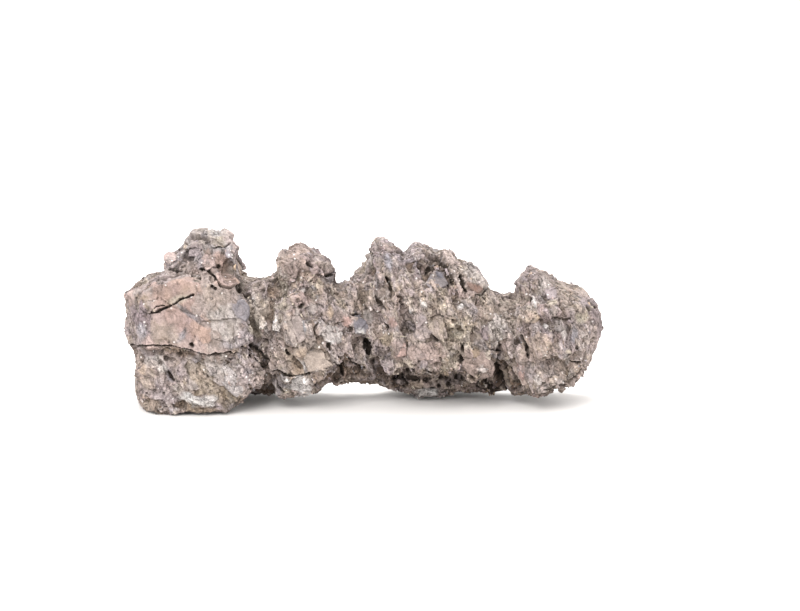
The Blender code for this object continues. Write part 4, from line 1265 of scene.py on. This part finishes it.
def set_in_skin(name, skin, seed, count, sizes, spread, sunk, calm_share, layered):
    """Scatters broken stones over the skin, with more of them where it is rough and on the front.

    Each sits at a random point of the skin, sunk along the surface's normal. Its colour is that
    of the skin there, drawn by chance towards a clast's own.
    """
    rng = np.random.default_rng(seed)
    points, normals = read_points(skin.data)
    calm = np.empty(len(points), np.float32)
    skin.data.attributes["calm"].data.foreach_get("value", calm)
    weight = np.clip(1.0 - calm, 0.0, 1.0) ** 1.5 + calm_share
    weight *= 1.0 - BACK_WITHOUT * smooth_step(points[:, 1], *SCATTER_BACK)
    weight /= weight.sum()
    spots = rng.choice(len(points), size=count, replace=False, p=weight)

    local, faces = broken_cubes(rng, count)
    size = sizes[0] * (sizes[1] / sizes[0]) ** (rng.random(count) ** 1.6)
    local = local * (size[:, None] * np.array(spread) * rng.uniform(0.7, 1.1, (count, 3)))[:, None, :]
    axes, up = skin_axes(rng, normals[spots], layered)
    placed = np.einsum("nvk,nkj->nvj", local, axes)
    placed += (points[spots] - up * (size * sunk)[:, None])[:, None, :]
    placed = keep_in_box(placed, SCATTER_OVER)
    placed[..., 2] = np.maximum(placed[..., 2], FLOOR_GAP)

    per_piece = local.shape[1]
    all_faces = (faces[None] + (np.arange(count) * per_piece)[:, None, None]).reshape(-1, 3)
    scattered = add_mesh(name, placed.reshape(-1, 3), all_faces)
    ground = read_tint(skin.data)[spots]
    own = ground + (pick(rng.random(count)) - ground) * (rng.random(count) ** 1.5)[:, None]
    own *= rng.uniform(*SCATTER_LIGHT, count)[:, None]
    give_attribute(scattered.data, "tint", np.repeat(np.clip(own, 0.0, 1.0), per_piece, axis=0))
    return scattered


# ---------------------------------------------------------------- finishes

# The light given back by the near black painted at the bottom of a pit or crack and into dark spots: their
# shade, with dirt.
DEEP_SHADE_AND_DIRT = (0.020, 0.014, 0.010)
FLOOR_LIGHT = (0.57, 0.55, 0.535)


class Nodes:
    """Short calls for adding shader nodes and joining them."""

    def __init__(self, name, roughness, specular):
        self.material = bpy.data.materials.new(name)
        self.material.use_nodes = True
        self.tree = self.material.node_tree
        self.shader = self.tree.nodes["Principled BSDF"]
        self.shader.inputs["Roughness"].default_value = roughness
        self.shader.inputs["Specular IOR Level"].default_value = specular

    def fill(self, socket, value):
        """Joins a socket to another's output, or sets it to a number, a vector or a colour."""
        if isinstance(value, bpy.types.NodeSocket):
            self.tree.links.new(value, socket)
        elif socket.type == "RGBA" and isinstance(value, tuple):
            socket.default_value = (*value, 1.0)
        else:
            socket.default_value = value

    def add(self, kind, values=None, **settings):
        node = self.tree.nodes.new(kind)
        for key, value in settings.items():
            setattr(node, key, value)
        for key, value in (values or {}).items():
            self.fill(node.inputs[key], value)
        return node

    def math(self, operation, first, second=0.0, clamp=False):
        node = self.add("ShaderNodeMath", {0: first, 1: second}, operation=operation, use_clamp=clamp)
        return node.outputs[0]

    def ramp(self, value, low, high, to_low=0.0, to_high=1.0):
        """Turns low..high into to_low..to_high, and keeps to those ends outside."""
        node = self.add("ShaderNodeMapRange", {0: value, 1: low, 2: high, 3: to_low, 4: to_high})
        return node.outputs[0]

    def product(self, *ramps):
        """The ramps multiplied, each given by what ramp() takes."""
        total = self.ramp(*ramps[0])
        for ramp in ramps[1:]:
            total = self.math("MULTIPLY", total, self.ramp(*ramp))
        return total

    def total(self, *parts):
        """The values added, each times its weight."""
        height = self.math("MULTIPLY", *parts[0])
        for part in parts[1:]:
            height = self.math("ADD", height, self.math("MULTIPLY", *part))
        return height

    def mix(self, share, first, second, how="MIX"):
        node = self.add("ShaderNodeMix", {0: share, 6: first, 7: second}, data_type="RGBA", blend_type=how)
        return node.outputs[2]

    def read(self, name, output):
        return self.add("ShaderNodeAttribute", attribute_name=name).outputs[output]

    def cells(self, place, scale, channel=0):
        """A pattern of broken cells: each one's random number, and the distance from its middle."""
        node = self.add("ShaderNodeTexVoronoi", {"Vector": place, "Scale": scale, "Randomness": 1.0})
        parts = self.add("ShaderNodeSeparateColor", {0: node.outputs["Color"]})
        return parts.outputs[channel], node.outputs["Distance"]

    def noise(self, place, scale, detail, roughness=0.5, output="Fac"):
        values = {"Vector": place, "Scale": scale, "Detail": detail, "Roughness": roughness}
        return self.add("ShaderNodeTexNoise", values).outputs[output]

    def link(self, output, name):
        self.tree.links.new(output, self.shader.inputs[name])


# Cells in a metre: the shards, the fine and coarse grains, the white specks and the dark spots.
SHARD_SCALE = 230.0
FINE_SCALE, COARSE_SCALE, WHITE_SCALE, DARK_SCALE = 1250.0, 560.0, 330.0, 520.0
# Noises: changes in a metre, detail, and roughness where it isn't 0.5.
DUST, STAIN = (650.0, 4.0, 0.7), (85.0, 5.0, 0.6)
BREAKS, STREAKS, BENDS = (120.0, 2.0), (420.0, 3.0), (260.0, 3.0)


def layer_shards(n, place):
    """Shards that lie along the stone's leaning layers: each one's random number, how far a point
    is from its rim, and streaks that run the same way."""
    layers = n.add("ShaderNodeMapping", {
        "Vector": place, "Rotation": (0.0, -math.radians(LAYER_LEAN), 0.0), "Scale": (1.0, 1.0, 2.2),
    }, vector_type="TEXTURE").outputs[0]
    bend = n.noise(layers, *BENDS, output="Color")
    bent = n.add(
        "ShaderNodeVectorMath", {0: bend, 1: (0.004, 0.004, 0.004), 2: layers}, operation="MULTIPLY_ADD"
    ).outputs[0]
    shards, _ = n.cells(bent, SHARD_SCALE)
    rims = n.add("ShaderNodeTexVoronoi", {"Vector": bent, "Scale": SHARD_SCALE, "Randomness": 1.0},
                 feature="DISTANCE_TO_EDGE").outputs["Distance"]
    stretched = n.add("ShaderNodeMapping", {"Vector": layers, "Scale": (1.0, 1.0, 0.5)}).outputs[0]
    return shards, rims, n.noise(stretched, *STREAKS)


def stone_finish():
    """Rough stone: each piece's own tint, broken by fine grains, shards, hairlines, specks, and near black
    painted into the pits and cracks as their shade, with dirt. A calm face shows its grains and hairlines
    less."""
    n = Nodes("stone", roughness=0.86, specular=0.22)
    place = n.add("ShaderNodeTexCoord").outputs["Object"]
    unrest = n.math("SUBTRACT", 1.15, n.read("calm", "Fac"), clamp=True)
    fine, fine_distance = n.cells(place, FINE_SCALE)
    coarse, coarse_distance = n.cells(place, COARSE_SCALE, 1)
    dust = n.noise(place, *DUST)
    stain = n.noise(place, *STAIN)
    shards, rims, streaks = layer_shards(n, place)
    breaks = n.noise(place, *BREAKS)
    hairline = n.product(
        (rims, 0.02, 0.09, 1.0, 0.0), (breaks, 0.52, 0.60), (unrest, 0.1, 0.6, 0.35, 1.0)
    )

    # Lighter and darker: what the grains do, less on a calm face, times what shards and stains do.
    light = n.product(
        (fine, 0.0, 1.0, 0.72, 1.20), (coarse, 0.0, 1.0, 0.84, 1.12),
        (dust, 0.3, 0.7, 0.80, 1.18), (streaks, 0.34, 0.66, 0.84, 1.13),
    )
    shown = n.ramp(unrest, 0.1, 0.7, 0.4, 1.0)
    light = n.math("ADD", n.math("MULTIPLY", n.math("SUBTRACT", light, 1.0), shown), 1.0)
    broad = n.product(
        (shards, 0.0, 1.0, 0.86, 1.11), (stain, 0.3, 0.7, 0.86, 1.12), (hairline, 0.0, 1.0, 1.0, 0.50)
    )
    light = n.math("MULTIPLY", light, broad)
    grey = n.add("ShaderNodeCombineColor", {0: light, 1: light, 2: light}).outputs[0]
    colour = n.mix(1.0, n.read("tint", "Color"), grey, "MULTIPLY")

    white, white_distance = n.cells(place, WHITE_SCALE, 2)
    speck = n.product((white, 0.95, 0.96), (white_distance, 0.34, 0.22))
    snow = tuple(float(c) for c in stone_colour("snow"))
    colour = n.mix(n.math("MULTIPLY", speck, 0.8), colour, snow)
    # Dark spots: small pores painted near black.
    dark, dark_distance = n.cells(place, DARK_SCALE)
    spot = n.product((dark, 0.78, 0.82), (dark_distance, 0.48, 0.22))
    spot = n.math("MULTIPLY", n.math("MULTIPLY", spot, 0.85), unrest)
    colour = n.mix(spot, colour, DEEP_SHADE_AND_DIRT)
    # The skin's pits and cracks painted near black, as their shade with dirt.
    colour = n.mix(n.math("MULTIPLY", n.read("deep", "Fac"), 0.92), colour, DEEP_SHADE_AND_DIRT)
    n.link(colour, "Base Color")

    relief = n.total((fine_distance, 0.5), (coarse_distance, 0.7), (dust, 1.0), (shards, 0.8))
    relief = n.math("SUBTRACT", relief, n.math("MAXIMUM", spot, hairline))
    bump = n.add("ShaderNodeBump", {"Height": relief, "Strength": 0.9, "Distance": 0.6 * MM})
    n.link(bump.outputs["Normal"], "Normal")
    return n.material


def floor_finish():
    """A plain, matt floor of one colour."""
    n = Nodes("pale_floor", roughness=0.9, specular=0.1)
    n.fill(n.shader.inputs["Base Color"], FLOOR_LIGHT)
    return n.material


# ---------------------------------------------------------------- the scene around the stone

FLOOR_REACH = 60.0
FLOOR_DROP = 0.1 * MM
# The sky's strength at the level and straight up.
SKY_LEVEL = 2.4
SKY_OVERHEAD = 2.1
# The lamps: where each stands, what it points at, its size, and its power in watts.
LAMPS = {
    "key": ((-0.15, 0.4, 1.3), (0.0, 0.0, 0.05), 0.7, 30.0),
    "fill": ((-0.5, -1.4, 1.15), (0.0, 0.0, 0.06), 1.2, 42.0),
    "side": ((1.1, -0.9, 0.4), (0.12, 0.0, 0.02), 0.6, 10.0),
}


def make_floor():
    """A level, pale floor that runs far beyond the view, a hair below the stone's rests."""
    reach = FLOOR_REACH
    corners = [(-reach, -reach, 0.0), (reach, -reach, 0.0), (reach, reach, 0.0), (-reach, reach, 0.0)]
    floor = add_mesh("floor", corners, [(0, 1, 2, 3)])
    floor.data.materials.append(floor_finish())
    floor.location.z = -FLOOR_DROP


def area_light(name, place, aim, size, power):
    """A round lamp that points from its place at its aim."""
    light = bpy.data.lights.new(name, "AREA")
    light.shape = "DISK"
    light.size = size
    light.energy = power
    lamp = add_object(name, light)
    lamp.location = place
    way = np.array(aim) - np.array(place)
    flat = math.hypot(way[0], way[1])
    lamp.rotation_euler = (math.atan2(flat, -way[2]), 0.0, math.atan2(way[1], way[0]) - math.pi / 2)


def make_light():
    """A white studio: a sky that is a little weaker overhead, a lamp above and a little behind, a
    large soft one from the front left, and a weak, low one from the right."""
    scene = bpy.context.scene
    world = bpy.data.worlds.new("studio")
    world.use_nodes = True
    tree = world.node_tree
    sky = tree.nodes["Background"]
    sky.inputs["Color"].default_value = (1.0, 1.0, 1.0, 1.0)
    way = tree.nodes.new("ShaderNodeTexCoord")
    parts = tree.nodes.new("ShaderNodeSeparateXYZ")
    rise = tree.nodes.new("ShaderNodeMapRange")
    rise.inputs["To Min"].default_value = SKY_LEVEL
    rise.inputs["To Max"].default_value = SKY_OVERHEAD
    tree.links.new(way.outputs["Generated"], parts.inputs[0])
    tree.links.new(parts.outputs["Z"], rise.inputs["Value"])
    tree.links.new(rise.outputs[0], sky.inputs["Strength"])
    scene.world = world
    scene.view_settings.view_transform = "Standard"
    scene.view_settings.look = "None"
    for name, lamp in LAMPS.items():
        area_light(name, *lamp)


def make_camera():
    """The view from the front: the camera stands back from LOOK_AT against the way it looks."""
    data = bpy.data.cameras.new("camera")
    data.lens = CAMERA_LENS_MM
    data.sensor_width = CAMERA_SENSOR_MM
    camera = add_object("camera", data)
    camera.location = LOOK_AT - VIEW_AWAY * CAMERA_DISTANCE
    camera.rotation_euler = (math.pi / 2 - CAMERA_RISE, 0.0, 0.0)
    bpy.context.scene.camera = camera


def keep_piece(obj, material):
    """Gives a piece its finish, and makes it stand for the stone."""
    obj.data.materials.clear()
    obj.data.materials.append(material)
    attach(obj, "root")
    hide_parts("stone")


def main():
    make_camera()
    make_light()
    make_floor()
    skin = make_skin(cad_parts["stone"])
    singles = inset_clasts(skin)
    splinters = set_in_skin("splinters", skin, **SPLINTERS)
    grit = set_in_skin("grit", skin, **GRIT)
    finish = stone_finish()
    for piece in (skin, singles, splinters, grit):
        keep_piece(piece, finish)


main()
